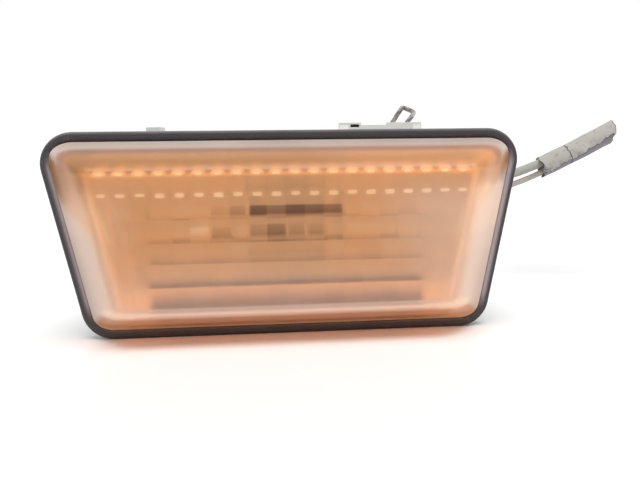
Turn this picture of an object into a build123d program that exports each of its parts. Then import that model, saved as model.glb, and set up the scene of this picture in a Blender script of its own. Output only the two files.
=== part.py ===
from build123d import *
import math
import os

# Side repeater lamp, in millimetres.
# X runs along the lamp, to the right seen from the front. Y runs back through the car's panel. Z is up.
# The origin is the middle of the gasket's rear face, which lies on the panel. The lens faces -Y.

# Thin wires have a section of many flats, which keeps their surfaces light
WIRE_SIDES = 8

# Face outline, at the gasket's outer edge: a trapezoid, wide at the top, with rounded corners
FACE_TOP_WIDTH = 77.0
FACE_HEIGHT = 32.6
SIDE_SLOPE = 11.8
FACE_CORNER = 5.0
SEAT_CLEARANCE = 0.05

# Gasket: a flat web on the panel, with a lip round the flange
GASKET_WEB = 1.5
GASKET_BAND = 5.0
LIP_WIDTH = 1.5
LIP_HEIGHT = 1.7
LIP_CHAMFER = 0.5

# Housing: a flange, and behind it a tub that goes through the panel
FLANGE_THICKNESS = 1.6
TUB_DEPTH = 18.0
TUB_ROUND = 2.5
TUB_INNER_ROUND = 1.2
TUB_DRAFT = 5.0
TUB_WALL = 1.8
REAR_WALL = 2.0
COLLAR_DIAMETER = 20.0
COLLAR_LENGTH = 3.0

# Spring seat on top of the tub, seen over the gasket
SPRING_SEAT_LEFT = 9.2
SPRING_SEAT_RIGHT = 24.1
SPRING_SEAT_RISE = 1.3
SPRING_SEAT_THICKNESS = 3.0
SPRING_SEAT_DIP = 0.45
SPRING_SEAT_LEFT_POST = 3.9
SPRING_SEAT_RIGHT_POST = 6.1
SPRING_SLOT_WIDTH = 1.6
SPRING_SLOT_HEIGHT = 0.5
SPRING_SLOT_EDGE = 0.3
SPRING_SLOT_COVER = 0.3
GUSSET_THICKNESS = 1.6
GUSSET_LENGTH = 6.0

# Spring clip: a hairpin of round wire with its legs in two sockets of the seat
SPRING_WIRE = 0.8
SPRING_LEG_GAP = 2.7
SPRING_LEG_EDGE = 0.9
SPRING_SOCKET_DEPTH = 2.2
SPRING_RISE = 2.7
SPRING_LEAN = 1.8
SPRING_BEND = 0.8

# Locating fin on top of the tub, and hooks under it that go behind the panel
FIN_PLACE = -22.3
FIN_WIDTH = 2.1
FIN_RISE = 0.7
FIN_FRONT = 8.0
FIN_LENGTH = 6.0
HOOK_PLACE = 18.0
HOOK_WIDTH = 6.0
HOOK_GAP = 3.0
HOOK_THICKNESS = 2.0
HOOK_REACH = 2.6

# Lens: a drafted cap welded to the flange
LENS_RISE = 9.0
LENS_SIDE_LEAN = 6.0
LENS_EDGE_LEAN = 3.2
LENS_ROUND = 2.6
LENS_INNER_ROUND = 1.0
LENS_WALL = 2.0
LENS_FACE_WALL = 1.8

# Pillow optics on the inside of the lens's face
PILLOW_WIDTH = 2.79
PILLOW_HEIGHT = 3.43
PILLOW_COLUMNS = 20
PILLOW_ROWS = 6
PILLOW_FLOOR = 0.15
PILLOW_SAG = 0.22
PILLOW_MARGIN = 0.3
PAD_WIDTH = 12.2
PAD_PROUD = 0.1

# Bulb holder: a bayonet spigot with two lugs, a flange and a hub with two finger wings
SPIGOT_DIAMETER = 13.1
BORE_CLEARANCE = 0.2
LUG_REACH = 1.3
LUG_WIDTH = 2.8
LUG_LENGTH = 2.2
HOLDER_FLANGE_DIAMETER = 22.0
HOLDER_FLANGE_THICKNESS = 2.0
HUB_DIAMETER = 12.6
HUB_LENGTH = 7.8
WING_THICKNESS = 3.0
WING_REACH = 3.4
WING_LENGTH = 5.6
SEAL_THICKNESS = 1.2
SEAL_DIAMETER = 19.0

# Capless bulb
BULB_LENGTH = 26.8
BULB_DIAMETER = 9.6
BULB_GLASS = 0.7
BULB_BODY_LENGTH = 17.2
BULB_TIP_DIAMETER = 3.4
BULB_NOSE_DIAMETER = 7.8
BULB_NOSE_FRONT = 1.2
BULB_NOSE_REAR = 3.2
BULB_SHOULDER = 2.6
WEDGE_WIDTH = 9.2
WEDGE_THICKNESS = 2.2
SLOT_CLEARANCE = 0.2
LEAD_DIAMETER = 0.5
LEAD_SPACING = 5.0
LEAD_TAIL = 4.6
FILAMENT_REACH = 1.8
FILAMENT_PLACE = 7.0

# Contacts: a flat strip on each side of the wedge, with a crimp barrel for its wire
CONTACT_WIDTH = 7.0
CONTACT_THICKNESS = 0.4
CONTACT_LENGTH = 9.0
CRIMP_DIAMETER = 2.0
CRIMP_LENGTH = 3.4
SLOT_FLOOR_GAP = 0.5

# Cut pigtail: two wires in a sleeve
FEED_DIAMETER = 1.9
EARTH_DIAMETER = 1.2
WIRE_EXIT_RUN = 3.6
SLEEVE_DIAMETER = 3.7
SLEEVE_BORE = 3.2
FEED_OFFSET = 0.62
EARTH_OFFSET = -0.97
CUT_DEPTH = 0.5

# Levels along Y, from the panel's face
WEB_FRONT = -GASKET_WEB
FLANGE_FRONT = WEB_FRONT - FLANGE_THICKNESS
LENS_FRONT = FLANGE_FRONT - LENS_RISE
LENS_INSIDE = LENS_FRONT + LENS_FACE_WALL
TUB_FLOOR = TUB_DEPTH - REAR_WALL
COLLAR_REAR = TUB_DEPTH + COLLAR_LENGTH
HOLDER_FLANGE_FRONT = COLLAR_REAR + SEAL_THICKNESS
HOLDER_FLANGE_REAR = HOLDER_FLANGE_FRONT + HOLDER_FLANGE_THICKNESS
HUB_REAR = HOLDER_FLANGE_REAR + HUB_LENGTH
SPIGOT_FRONT = TUB_FLOOR - SEAT_CLEARANCE - LUG_LENGTH
SLOT_FLOOR = HOLDER_FLANGE_REAR
BULB_BASE = SLOT_FLOOR - SLOT_FLOOR_GAP - LEAD_DIAMETER
BULB_TIP = BULB_BASE - BULB_LENGTH

# Insets from the gasket's outer edge
FLANGE_INSET = LIP_WIDTH + SEAT_CLEARANCE
TUB_INSET = GASKET_BAND + SEAT_CLEARANCE

# Heights and radii that pieces share
SPRING_SEAT_TOP = FACE_HEIGHT / 2 + SPRING_SEAT_RISE
SPRING_SEAT_FRONT = TUB_DEPTH - SPRING_SEAT_THICKNESS
SPRING_LEFT_LEG = SPRING_SEAT_RIGHT - SPRING_SEAT_RIGHT_POST + SPRING_LEG_EDGE
SPRING_RIGHT_LEG = SPRING_LEFT_LEG + SPRING_LEG_GAP
SPRING_PLACE = SPRING_SEAT_FRONT + SPRING_SEAT_THICKNESS / 2
TAIL_HEIGHT = WEDGE_THICKNESS / 2 + LEAD_DIAMETER / 2
BULB_NECK = WEDGE_THICKNESS / 2 + LEAD_DIAMETER
CONTACT_INNER = WEDGE_THICKNESS / 2 + LEAD_DIAMETER
CONTACT_OUTER = CONTACT_INNER + CONTACT_THICKNESS
CRIMP_HEIGHT = CONTACT_INNER + CRIMP_DIAMETER / 2 - CONTACT_THICKNESS
CRIMP_FRONT = SLOT_FLOOR + SEAT_CLEARANCE
CRIMP_REAR = CRIMP_FRONT + CRIMP_LENGTH
BORE_DIAMETER = SPIGOT_DIAMETER + 2 * BORE_CLEARANCE

# Routes of the pigtail: the wires leave the hub, turn along the lamp and run into the sleeve side by side
EXIT_BEND = HUB_REAR + WIRE_EXIT_RUN
FEED_START = [(0, CRIMP_REAR, CRIMP_HEIGHT), (0, EXIT_BEND, CRIMP_HEIGHT)]
FEED_ROUTE = [(5.0, 42.0, 2.6), (16.5, 45.0, 3.0), (30.5, 44.0, 3.1)]
EARTH_START = [(0, CRIMP_REAR, -CRIMP_HEIGHT), (0, EXIT_BEND, -CRIMP_HEIGHT)]
EARTH_ROUTE = [(4.8, 42.2, -1.8), (16.0, 45.6, -1.0), (30.0, 44.6, 0.2)]
SLEEVE_ROUTE = [(45.0, 41.0, 4.34), (60.2, 41.0, 10.42), (68.4, 41.0, 14.6), (71.3, 41.0, 16.45)]


def face_half_width(height, inset):
    """Half the face's width at a height, drawn in by an inset square to the slanted side."""
    lean = math.radians(SIDE_SLOPE)
    drop = FACE_HEIGHT / 2 - height
    return FACE_TOP_WIDTH / 2 - drop * math.tan(lean) - inset / math.cos(lean)


def corners(level, side_inset, edge_inset):
    """Sharp corners of the face's trapezoid at a level along Y, drawn in from the gasket's outer edge."""
    top = FACE_HEIGHT / 2 - edge_inset
    upper = face_half_width(top, side_inset)
    lower = face_half_width(-top, side_inset)
    return [(-upper, level, top), (-lower, level, -top), (lower, level, -top), (upper, level, top)]


def slab(rear, front, side_inset, edge_inset, corner):
    """A plate of the face's rounded trapezoid between two levels."""
    border = FilletPolyline(*corners(rear, side_inset, edge_inset), radius=corner, close=True)
    return extrude(make_face(border), rear - front, dir=(0, -1, 0))


def flat_sided(near, far):
    """The solid between two sets of four corners, with flat leaning walls."""
    walls = [[near[step - 1], near[step], far[step], far[step - 1]] for step in range(4)]
    faces = [make_face(Polyline(*loop, close=True)).face() for loop in [near, far] + walls]
    return Solid(Shell(faces))


def block(left, right, front, rear, bottom, top):
    """A box given by its six faces."""
    middle = Pos((left + right) / 2, (front + rear) / 2, (bottom + top) / 2)
    return middle * Box(right - left, rear - front, top - bottom)


def rod(diameter, front, rear, height=0.0):
    """A cylinder along Y between two levels."""
    upright = Cylinder(diameter / 2, rear - front, align=(Align.CENTER, Align.CENTER, Align.MIN))
    return Pos(0, front, height) * Rot(-90, 0, 0) * upright


def cone(front_diameter, rear_diameter, front, rear):
    """A cone along Y between two levels."""
    rearward = (Align.CENTER, Align.CENTER, Align.MIN)
    upright = Cone(front_diameter / 2, rear_diameter / 2, rear - front, align=rearward)
    return Pos(0, front, 0) * Rot(-90, 0, 0) * upright


def wire_along(path, diameter):
    """A thin wire swept along a path, with mitres at its sharp corners."""
    start = Plane(path @ 0, z_dir=path % 0)
    section = RegularPolygon(diameter / 2, WIRE_SIDES)
    return sweep(start * section, path=path, transition=Transition.RIGHT)


def bend_radii(route):
    """The largest arc that each corner of a route takes, with its runs left straight in between."""
    points = [Vector(*point) for point in route]
    radii = []
    for before, corner, after in zip(points, points[1:], points[2:]):
        run_in = corner - before
        run_out = after - corner
        turn = math.radians(run_in.get_angle(run_out))
        radii.append(0.45 * min(run_in.length, run_out.length) / math.tan(turn / 2))
    return radii


def cord(route, diameter):
    """A cord of straight runs and tangent arcs along a route."""
    radii = bend_radii(route)
    print("bend radii", [round(radius, 1) for radius in radii])
    path = FilletPolyline(*route, radius=radii)
    solid = wire_along(path, diameter)
    straight_volume = RegularPolygon(diameter / 2, WIRE_SIDES).area * path.length
    print("cord length", round(path.length, 1), "volume share", round(solid.volume / straight_volume, 4))
    return solid


def beside(route, offset):
    """A route moved sideways in its own XZ plane, square to its runs."""
    points = [Vector(*point) for point in route]
    ends = [points[0] * 2 - points[1]] + points + [points[-1] * 2 - points[-2]]
    moved = []
    for before, point, after in zip(ends, points, ends[2:]):
        first = (point - before).normalized()
        second = (after - point).normalized()
        along = (first + second).normalized()
        half_turn = math.radians(first.get_angle(second) / 2)
        up = Vector(-along.Z, 0, along.X)
        moved.append(tuple(point + up * (offset / math.cos(half_turn))))
    return moved


def make_gasket():
    """Rubber ring of L section: its web lies on the panel and its lip holds the flange's edge."""
    lip_front = WEB_FRONT - LIP_HEIGHT
    ring = slab(0, lip_front, 0, 0, FACE_CORNER)
    ring = chamfer(ring.edges().group_by(Axis.Y)[0], LIP_CHAMFER)
    ring -= slab(WEB_FRONT, lip_front, LIP_WIDTH, LIP_WIDTH, FACE_CORNER - LIP_WIDTH)
    return ring - slab(0, lip_front, GASKET_BAND, GASKET_BAND, TUB_ROUND + SEAT_CLEARANCE)


def tub_inset(level):
    """How far the tub's drafted wall lies inside the gasket's outer edge at a level along Y."""
    return TUB_INSET + (level - WEB_FRONT) * math.tan(math.radians(TUB_DRAFT))


def tub_top(level):
    """Height of the tub's upper face at a level along Y."""
    return FACE_HEIGHT / 2 - tub_inset(level)


def tub_shape(front, rear, wall):
    """The drafted plug behind the flange, drawn in by a wall."""
    near = tub_inset(front) + wall
    far = tub_inset(rear) + wall
    return flat_sided(corners(front, near, near), corners(rear, far, far))


def make_spring_seat():
    """Two posts and a low bridge on the tub's upper rear edge, on gussets, with sockets for the spring."""
    root = tub_top(TUB_DEPTH) - TUB_WALL / 2
    bridge_top = SPRING_SEAT_TOP - SPRING_SEAT_DIP
    left_edge = SPRING_SEAT_LEFT + SPRING_SEAT_LEFT_POST
    right_edge = SPRING_SEAT_RIGHT - SPRING_SEAT_RIGHT_POST
    seat = block(SPRING_SEAT_LEFT, SPRING_SEAT_RIGHT, SPRING_SEAT_FRONT, TUB_DEPTH, root, SPRING_SEAT_TOP)
    seat -= block(left_edge, right_edge, SPRING_SEAT_FRONT, TUB_DEPTH, bridge_top, SPRING_SEAT_TOP)
    slot_right = left_edge - SPRING_SLOT_EDGE
    slot_left = slot_right - SPRING_SLOT_WIDTH
    slot_top = SPRING_SEAT_TOP - SPRING_SLOT_COVER
    seat -= block(slot_left, slot_right, SPRING_SEAT_FRONT, TUB_DEPTH, slot_top - SPRING_SLOT_HEIGHT, slot_top)
    gusset_front = SPRING_SEAT_FRONT - GUSSET_LENGTH
    side = Plane.YZ * make_face(Polyline(
        (gusset_front, root),
        (SPRING_SEAT_FRONT, root),
        (SPRING_SEAT_FRONT, bridge_top),
        close=True,
    ))
    for left in (SPRING_SEAT_LEFT, SPRING_SEAT_RIGHT - GUSSET_THICKNESS):
        seat += Pos(left, 0, 0) * extrude(side, GUSSET_THICKNESS)
    downward = (Align.CENTER, Align.CENTER, Align.MAX)
    socket = Cylinder(SPRING_WIRE / 2 + SEAT_CLEARANCE, SPRING_SOCKET_DEPTH, align=downward)
    for leg in (SPRING_LEFT_LEG, SPRING_RIGHT_LEG):
        seat -= Pos(leg, SPRING_PLACE, SPRING_SEAT_TOP) * socket
    return seat


def make_spring_clip():
    """Hairpin of round wire that leans out over the seat and springs back behind the panel's edge."""
    foot = SPRING_SEAT_TOP - SPRING_SOCKET_DEPTH
    knee = SPRING_SEAT_TOP + SPRING_WIRE / 4
    peak = SPRING_SEAT_TOP + SPRING_RISE
    points = [
        (SPRING_LEFT_LEG, SPRING_PLACE, foot),
        (SPRING_LEFT_LEG, SPRING_PLACE, knee),
        (SPRING_LEFT_LEG + SPRING_LEAN, SPRING_PLACE, peak),
        (SPRING_RIGHT_LEG + SPRING_LEAN, SPRING_PLACE, peak - SPRING_WIRE),
        (SPRING_RIGHT_LEG, SPRING_PLACE, knee),
        (SPRING_RIGHT_LEG, SPRING_PLACE, foot),
    ]
    return wire_along(FilletPolyline(*points, radius=[0, SPRING_BEND, SPRING_BEND, 0]), SPRING_WIRE)


def make_housing():
    """White moulding: flange, drafted tub, rear collar with a bayonet bore, spring seat, fin and hooks."""
    body = slab(WEB_FRONT, FLANGE_FRONT, FLANGE_INSET, FLANGE_INSET, FACE_CORNER - FLANGE_INSET)
    tub = tub_shape(WEB_FRONT, TUB_DEPTH, 0)
    edge_levels = tub.edges().group_by(Axis.Y)
    body += fillet(edge_levels[1] + edge_levels[2], TUB_ROUND)
    body += rod(COLLAR_DIAMETER, TUB_FLOOR, COLLAR_REAR)
    body += make_spring_seat()
    fin_left = FIN_PLACE - FIN_WIDTH / 2
    fin_rear = FIN_FRONT + FIN_LENGTH
    fin_root = tub_top(fin_rear) - TUB_WALL / 2
    fin_top = FACE_HEIGHT / 2 + FIN_RISE
    body += block(fin_left, fin_left + FIN_WIDTH, FIN_FRONT, fin_rear, fin_root, fin_top)
    hook_rear = HOOK_GAP + HOOK_THICKNESS
    hook_root = -tub_top(hook_rear) + TUB_WALL / 2
    hook_tip = -tub_top(0) - HOOK_REACH
    for place in (-HOOK_PLACE, HOOK_PLACE):
        hook = block(place - HOOK_WIDTH / 2, place + HOOK_WIDTH / 2, HOOK_GAP, hook_rear, hook_tip, hook_root)
        tip_edge = hook.edges().filter_by(Axis.X).group_by(Axis.Z)[0].group_by(Axis.Y)[-1]
        body += chamfer(tip_edge, HOOK_THICKNESS / 2)
    hollow = tub_shape(FLANGE_FRONT, TUB_FLOOR, TUB_WALL)
    body -= fillet(hollow.edges().group_by(Axis.Y)[1], TUB_INNER_ROUND)
    body -= rod(BORE_DIAMETER, TUB_FLOOR, COLLAR_REAR)
    notch_reach = SPIGOT_DIAMETER / 2 + LUG_REACH + BORE_CLEARANCE
    notch_half = LUG_WIDTH / 2 + BORE_CLEARANCE
    return body - block(-notch_reach, notch_reach, TUB_FLOOR, COLLAR_REAR, -notch_half, notch_half)


def lens_insets(level, wall):
    """Side and edge insets of the lens's drafted wall at a level, drawn in by a wall."""
    share = (FLANGE_FRONT - level) / LENS_RISE
    return FLANGE_INSET + share * LENS_SIDE_LEAN + wall, FLANGE_INSET + share * LENS_EDGE_LEAN + wall


def scallops(pitch, count):
    """Profile of a row of equal arcs, as flutes seen end on, with its flat back in the face's wall."""
    left = -pitch * count / 2
    arcs = [
        ThreePointArc(
            (left + pitch * step, PILLOW_FLOOR),
            (left + pitch * (step + 0.5), PILLOW_FLOOR + PILLOW_SAG),
            (left + pitch * (step + 1), PILLOW_FLOOR),
        )
        for step in range(count)
    ]
    back = -LENS_FACE_WALL / 2
    rim = Polyline((-left, PILLOW_FLOOR), (-left, back), (left, back), (left, PILLOW_FLOOR))
    return make_face(arcs + rim.edges())


def make_optics():
    """Optics inside the lens's face: pillows where flutes cross, under a row of upright flutes alone."""
    tall = PILLOW_HEIGHT * PILLOW_ROWS
    wide = PILLOW_WIDTH * PILLOW_COLUMNS
    upright_plane = Plane(origin=(0, LENS_INSIDE, 0), x_dir=(1, 0, 0), z_dir=(0, 0, 1))
    level_plane = Plane(origin=(0, LENS_INSIDE, 0), x_dir=(0, 0, -1), z_dir=(1, 0, 0))
    upright = extrude(upright_plane * scallops(PILLOW_WIDTH, PILLOW_COLUMNS), tall / 2, both=True)
    level = extrude(level_plane * scallops(PILLOW_HEIGHT, PILLOW_ROWS), wide / 2, both=True)
    side, edge = lens_insets(LENS_INSIDE, LENS_WALL + PILLOW_MARGIN)
    back = LENS_INSIDE + PILLOW_FLOOR + PILLOW_SAG + PAD_PROUD
    pad_front = LENS_INSIDE - LENS_FACE_WALL / 2
    top_row = tall / 2 - PILLOW_HEIGHT
    level += block(-wide / 2, wide / 2, pad_front, back, top_row, tall / 2)
    bounds = slab(back, pad_front, side, edge, LENS_INNER_ROUND)
    pad_half = PAD_WIDTH / 2
    pad = block(-pad_half, pad_half, pad_front, back, top_row, tall / 2)
    return (upright & level & bounds) + (pad & bounds)


def make_lens():
    """Amber cap: leaning walls, a flat face with rounded edges, smooth outside and pillowed inside."""
    rim = corners(FLANGE_FRONT, *lens_insets(FLANGE_FRONT, 0))
    cap = flat_sided(rim, corners(LENS_FRONT, *lens_insets(LENS_FRONT, 0)))
    edge_levels = cap.edges().group_by(Axis.Y)
    cap = fillet(edge_levels[0] + edge_levels[1], LENS_ROUND)
    cap &= slab(FLANGE_FRONT, LENS_FRONT, FLANGE_INSET, FLANGE_INSET, FACE_CORNER - FLANGE_INSET)
    hollow_rim = corners(FLANGE_FRONT, *lens_insets(FLANGE_FRONT, LENS_WALL))
    hollow_face = corners(LENS_INSIDE, *lens_insets(LENS_INSIDE, LENS_WALL))
    hollow = flat_sided(hollow_rim, hollow_face)
    cap -= fillet(hollow.edges().group_by(Axis.Y)[1], LENS_INNER_ROUND)
    return cap + make_optics()


def make_holder():
    """Bayonet holder: spigot with two lugs, flange, and a hub with finger wings, slotted for the bulb."""
    holder = rod(SPIGOT_DIAMETER, SPIGOT_FRONT, HOLDER_FLANGE_FRONT)
    lug_tip = SPIGOT_DIAMETER / 2 + LUG_REACH
    lugs = block(-LUG_WIDTH / 2, LUG_WIDTH / 2, SPIGOT_FRONT, SPIGOT_FRONT + LUG_LENGTH, -lug_tip, lug_tip)
    holder += lugs & rod(2 * lug_tip, SPIGOT_FRONT, SPIGOT_FRONT + LUG_LENGTH)
    holder += rod(HOLDER_FLANGE_DIAMETER, HOLDER_FLANGE_FRONT, HOLDER_FLANGE_REAR)
    holder += rod(HUB_DIAMETER, HOLDER_FLANGE_REAR, HUB_REAR)
    wing_tip = HUB_DIAMETER / 2 + WING_REACH
    wing_rear = HOLDER_FLANGE_REAR + WING_LENGTH
    half = WING_THICKNESS / 2
    wings = block(-wing_tip, wing_tip, HOLDER_FLANGE_REAR, wing_rear, -half, half)
    holder += fillet(wings.edges().filter_by(Axis.Z).group_by(Axis.Y)[-1], half)
    slot_x = WEDGE_WIDTH / 2 + SLOT_CLEARANCE
    slot_z = WEDGE_THICKNESS / 2 + SLOT_CLEARANCE
    holder -= block(-slot_x, slot_x, SPIGOT_FRONT, SLOT_FLOOR, -slot_z, slot_z)
    pocket_x = CONTACT_WIDTH / 2 + SLOT_CLEARANCE
    pocket_z = CONTACT_OUTER + SEAT_CLEARANCE
    holder -= block(-pocket_x, pocket_x, SPIGOT_FRONT, SLOT_FLOOR, -pocket_z, pocket_z)
    bore = CRIMP_DIAMETER + 2 * SEAT_CLEARANCE
    for height in (CRIMP_HEIGHT, -CRIMP_HEIGHT):
        holder -= rod(bore, SLOT_FLOOR, HUB_REAR, height)
    return holder


def make_seal():
    """Rubber ring squeezed between the collar and the holder's flange."""
    ring = rod(SEAL_DIAMETER, COLLAR_REAR, HOLDER_FLANGE_FRONT)
    return ring - rod(BORE_DIAMETER, COLLAR_REAR, HOLDER_FLANGE_FRONT)


def make_lead(side):
    """A lead wire: from the filament through the pinch, and folded round the wedge's end onto one face."""
    place = side * LEAD_SPACING / 2
    fold = BULB_BASE + LEAD_DIAMETER / 2
    points = [
        (place, BULB_TIP + FILAMENT_PLACE, 0),
        (place, fold, 0),
        (place, fold, -side * TAIL_HEIGHT),
        (place, fold - LEAD_TAIL, -side * TAIL_HEIGHT),
    ]
    return wire_along(Polyline(*points), LEAD_DIAMETER)


def make_filament():
    """Filament on the tips of the two leads."""
    half = LEAD_SPACING / 2
    tip = BULB_TIP + FILAMENT_PLACE
    front = tip - FILAMENT_REACH
    points = [(-half, tip, 0), (-half, front, 0), (half, front, 0), (half, tip, 0)]
    return wire_along(Polyline(*points), LEAD_DIAMETER)


def make_bulb():
    """Hollow glass with a blunt nose and a flat pinched wedge, moulded round its leads."""
    nose_step = BULB_TIP + BULB_NOSE_FRONT
    body_front = nose_step + BULB_NOSE_REAR
    body_rear = BULB_TIP + BULB_BODY_LENGTH - BULB_SHOULDER
    glass = cone(BULB_TIP_DIAMETER, BULB_NOSE_DIAMETER, BULB_TIP, nose_step)
    glass += cone(BULB_NOSE_DIAMETER, BULB_DIAMETER, nose_step, body_front)
    glass += rod(BULB_DIAMETER, body_front, body_rear)
    glass += cone(BULB_DIAMETER, 2 * BULB_NECK, body_rear, body_rear + BULB_SHOULDER)
    half_width = WEDGE_WIDTH / 2
    half_thickness = WEDGE_THICKNESS / 2
    glass += block(-half_width, half_width, body_rear, BULB_BASE, -half_thickness, half_thickness)
    glass -= rod(BULB_DIAMETER - 2 * BULB_GLASS, body_front, body_rear)
    for side in (-1, 1):
        glass -= make_lead(side)
    return glass


def make_contact(side):
    """Brass strip along one face of the wedge, with a narrow neck to a crimp barrel in the hub."""
    low, high = sorted((side * CONTACT_INNER, side * CONTACT_OUTER))
    half = CONTACT_WIDTH / 2
    strip = block(-half, half, CRIMP_FRONT - CONTACT_LENGTH, SLOT_FLOOR - SEAT_CLEARANCE, low, high)
    neck_front = SLOT_FLOOR - CRIMP_DIAMETER
    neck = block(-half, half, neck_front, CRIMP_REAR, low, high)
    neck &= rod(CRIMP_DIAMETER, neck_front, CRIMP_REAR, side * CRIMP_HEIGHT)
    return strip + neck + rod(CRIMP_DIAMETER, CRIMP_FRONT, CRIMP_REAR, side * CRIMP_HEIGHT)


def make_sleeve():
    """Sleeve over the wires' far ends, from one run's length ahead of its first bend to its cut end."""
    first_bend = Vector(*SLEEVE_ROUTE[1])
    into = (Vector(*SLEEVE_ROUTE[0]) - first_bend).normalized()
    mouth = first_bend + into * (Vector(*SLEEVE_ROUTE[2]) - first_bend).length
    route = [tuple(mouth)] + SLEEVE_ROUTE[1:]
    return cord(route, SLEEVE_DIAMETER) - cord(route, SLEEVE_BORE)


def make_wire(start, middle, offset, diameter):
    """A wire from its crimp to just inside the sleeve's cut end."""
    last = Vector(*SLEEVE_ROUTE[-1])
    back = (Vector(*SLEEVE_ROUTE[-2]) - last).normalized()
    inside = SLEEVE_ROUTE[:-1] + [tuple(last + back * CUT_DEPTH)]
    return cord(start + middle + beside(inside, offset), diameter)


pieces = {
    "lens": make_lens(),
    "gasket": make_gasket(),
    "housing": make_housing(),
    "spring_clip": make_spring_clip(),
    "bulb_holder": make_holder(),
    "holder_seal": make_seal(),
    "bulb_envelope": make_bulb(),
    "bulb_filament": make_filament(),
    "bulb_lead_left": make_lead(-1),
    "bulb_lead_right": make_lead(1),
    "contact_feed": make_contact(1),
    "contact_earth": make_contact(-1),
    "wire_feed": make_wire(FEED_START, FEED_ROUTE, FEED_OFFSET, FEED_DIAMETER),
    "wire_earth": make_wire(EARTH_START, EARTH_ROUTE, EARTH_OFFSET, EARTH_DIAMETER),
    "wire_sleeve": make_sleeve(),
}

os.makedirs("parts", exist_ok=True)
for name, solid in pieces.items():
    export_step(solid, f"parts/{name}.step")
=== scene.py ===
"""Side repeater lamp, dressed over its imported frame.

The classes hold sizes in millimetres of the real lamp, as its source does, and meshes are made in metres.
X runs along the lamp, Y back through the car's panel and Z up. The lens faces -Y.
"""

import logging
import math
from dataclasses import dataclass
from enum import Enum
from typing import Optional, Protocol, Sequence, Union

import bmesh
import bpy
import numpy as np
from mathutils import Matrix, Vector

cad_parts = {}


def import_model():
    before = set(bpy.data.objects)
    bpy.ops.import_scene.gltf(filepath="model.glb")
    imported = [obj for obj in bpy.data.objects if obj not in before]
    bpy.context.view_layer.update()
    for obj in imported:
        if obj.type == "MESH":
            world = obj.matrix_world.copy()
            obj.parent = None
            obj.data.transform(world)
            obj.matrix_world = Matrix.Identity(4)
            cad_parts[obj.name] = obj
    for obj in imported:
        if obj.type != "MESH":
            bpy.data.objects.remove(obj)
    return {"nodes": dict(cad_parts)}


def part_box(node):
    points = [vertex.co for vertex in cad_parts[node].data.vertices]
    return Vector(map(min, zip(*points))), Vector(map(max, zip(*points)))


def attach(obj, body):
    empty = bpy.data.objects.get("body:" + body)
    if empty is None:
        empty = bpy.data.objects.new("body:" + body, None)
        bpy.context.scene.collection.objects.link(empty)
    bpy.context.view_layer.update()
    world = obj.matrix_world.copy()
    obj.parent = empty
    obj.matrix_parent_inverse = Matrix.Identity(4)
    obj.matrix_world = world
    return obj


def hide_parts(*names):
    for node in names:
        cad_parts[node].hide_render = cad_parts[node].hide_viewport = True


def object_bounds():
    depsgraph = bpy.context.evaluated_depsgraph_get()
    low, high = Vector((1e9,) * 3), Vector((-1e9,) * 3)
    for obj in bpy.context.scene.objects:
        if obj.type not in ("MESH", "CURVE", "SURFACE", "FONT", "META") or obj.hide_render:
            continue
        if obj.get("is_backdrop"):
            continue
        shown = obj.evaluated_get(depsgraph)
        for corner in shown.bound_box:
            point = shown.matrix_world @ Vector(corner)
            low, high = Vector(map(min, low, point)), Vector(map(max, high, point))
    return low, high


LOG = logging.getLogger("side_repeater_lamp")
MM = 0.001
MERGE_REACH = 0.002 * MM
LEAST_EDGE = 0.001 * MM
GRAIN_DEPTH = 0.2 * MM
BODY = "root"

Colour = tuple[float, float, float]
Place = tuple[float, float, float]
Setting = Union[float, Sequence[float], bpy.types.NodeSocket]


class Grime(Enum):
    """How much dirt a finish has gathered, as a share of its surface."""

    LIGHT = 0.25
    WORN = 0.5
    HEAVY = 0.8


class Skin(Enum):
    """The two sides of a moulded wall."""

    OUTER = 0.0
    INNER = 1.0


# Meshes


def grid_quads(rows: int, columns: int, wrap_rows: bool, wrap_columns: bool) -> np.ndarray:
    """Quads between neighbours in a grid of points that is stored row by row.

    Args:
        rows: Points along the first parameter.
        columns: Points along the second parameter.
        wrap_rows: Whether the last row joins the first.
        wrap_columns: Whether the last column joins the first.

    Returns:
        Four point numbers for each quad.
    """
    row = np.arange(rows if wrap_rows else rows - 1)[:, None]
    column = np.arange(columns if wrap_columns else columns - 1)[None, :]
    next_row = (row + 1) % rows
    next_column = (column + 1) % columns
    corners = [row * columns + column, row * columns + next_column]
    corners += [next_row * columns + next_column, next_row * columns + column]
    return np.stack(corners, axis=-1).reshape(-1, 4)


def loop_quads(first: np.ndarray, second: np.ndarray) -> np.ndarray:
    """Quads of a closed band between two loops of as many points.

    Args:
        first: Point numbers of one loop, in order.
        second: Point numbers of the other loop.

    Returns:
        Four point numbers for each quad.
    """
    return np.stack([first, np.roll(first, -1), np.roll(second, -1), second], axis=-1)


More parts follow.
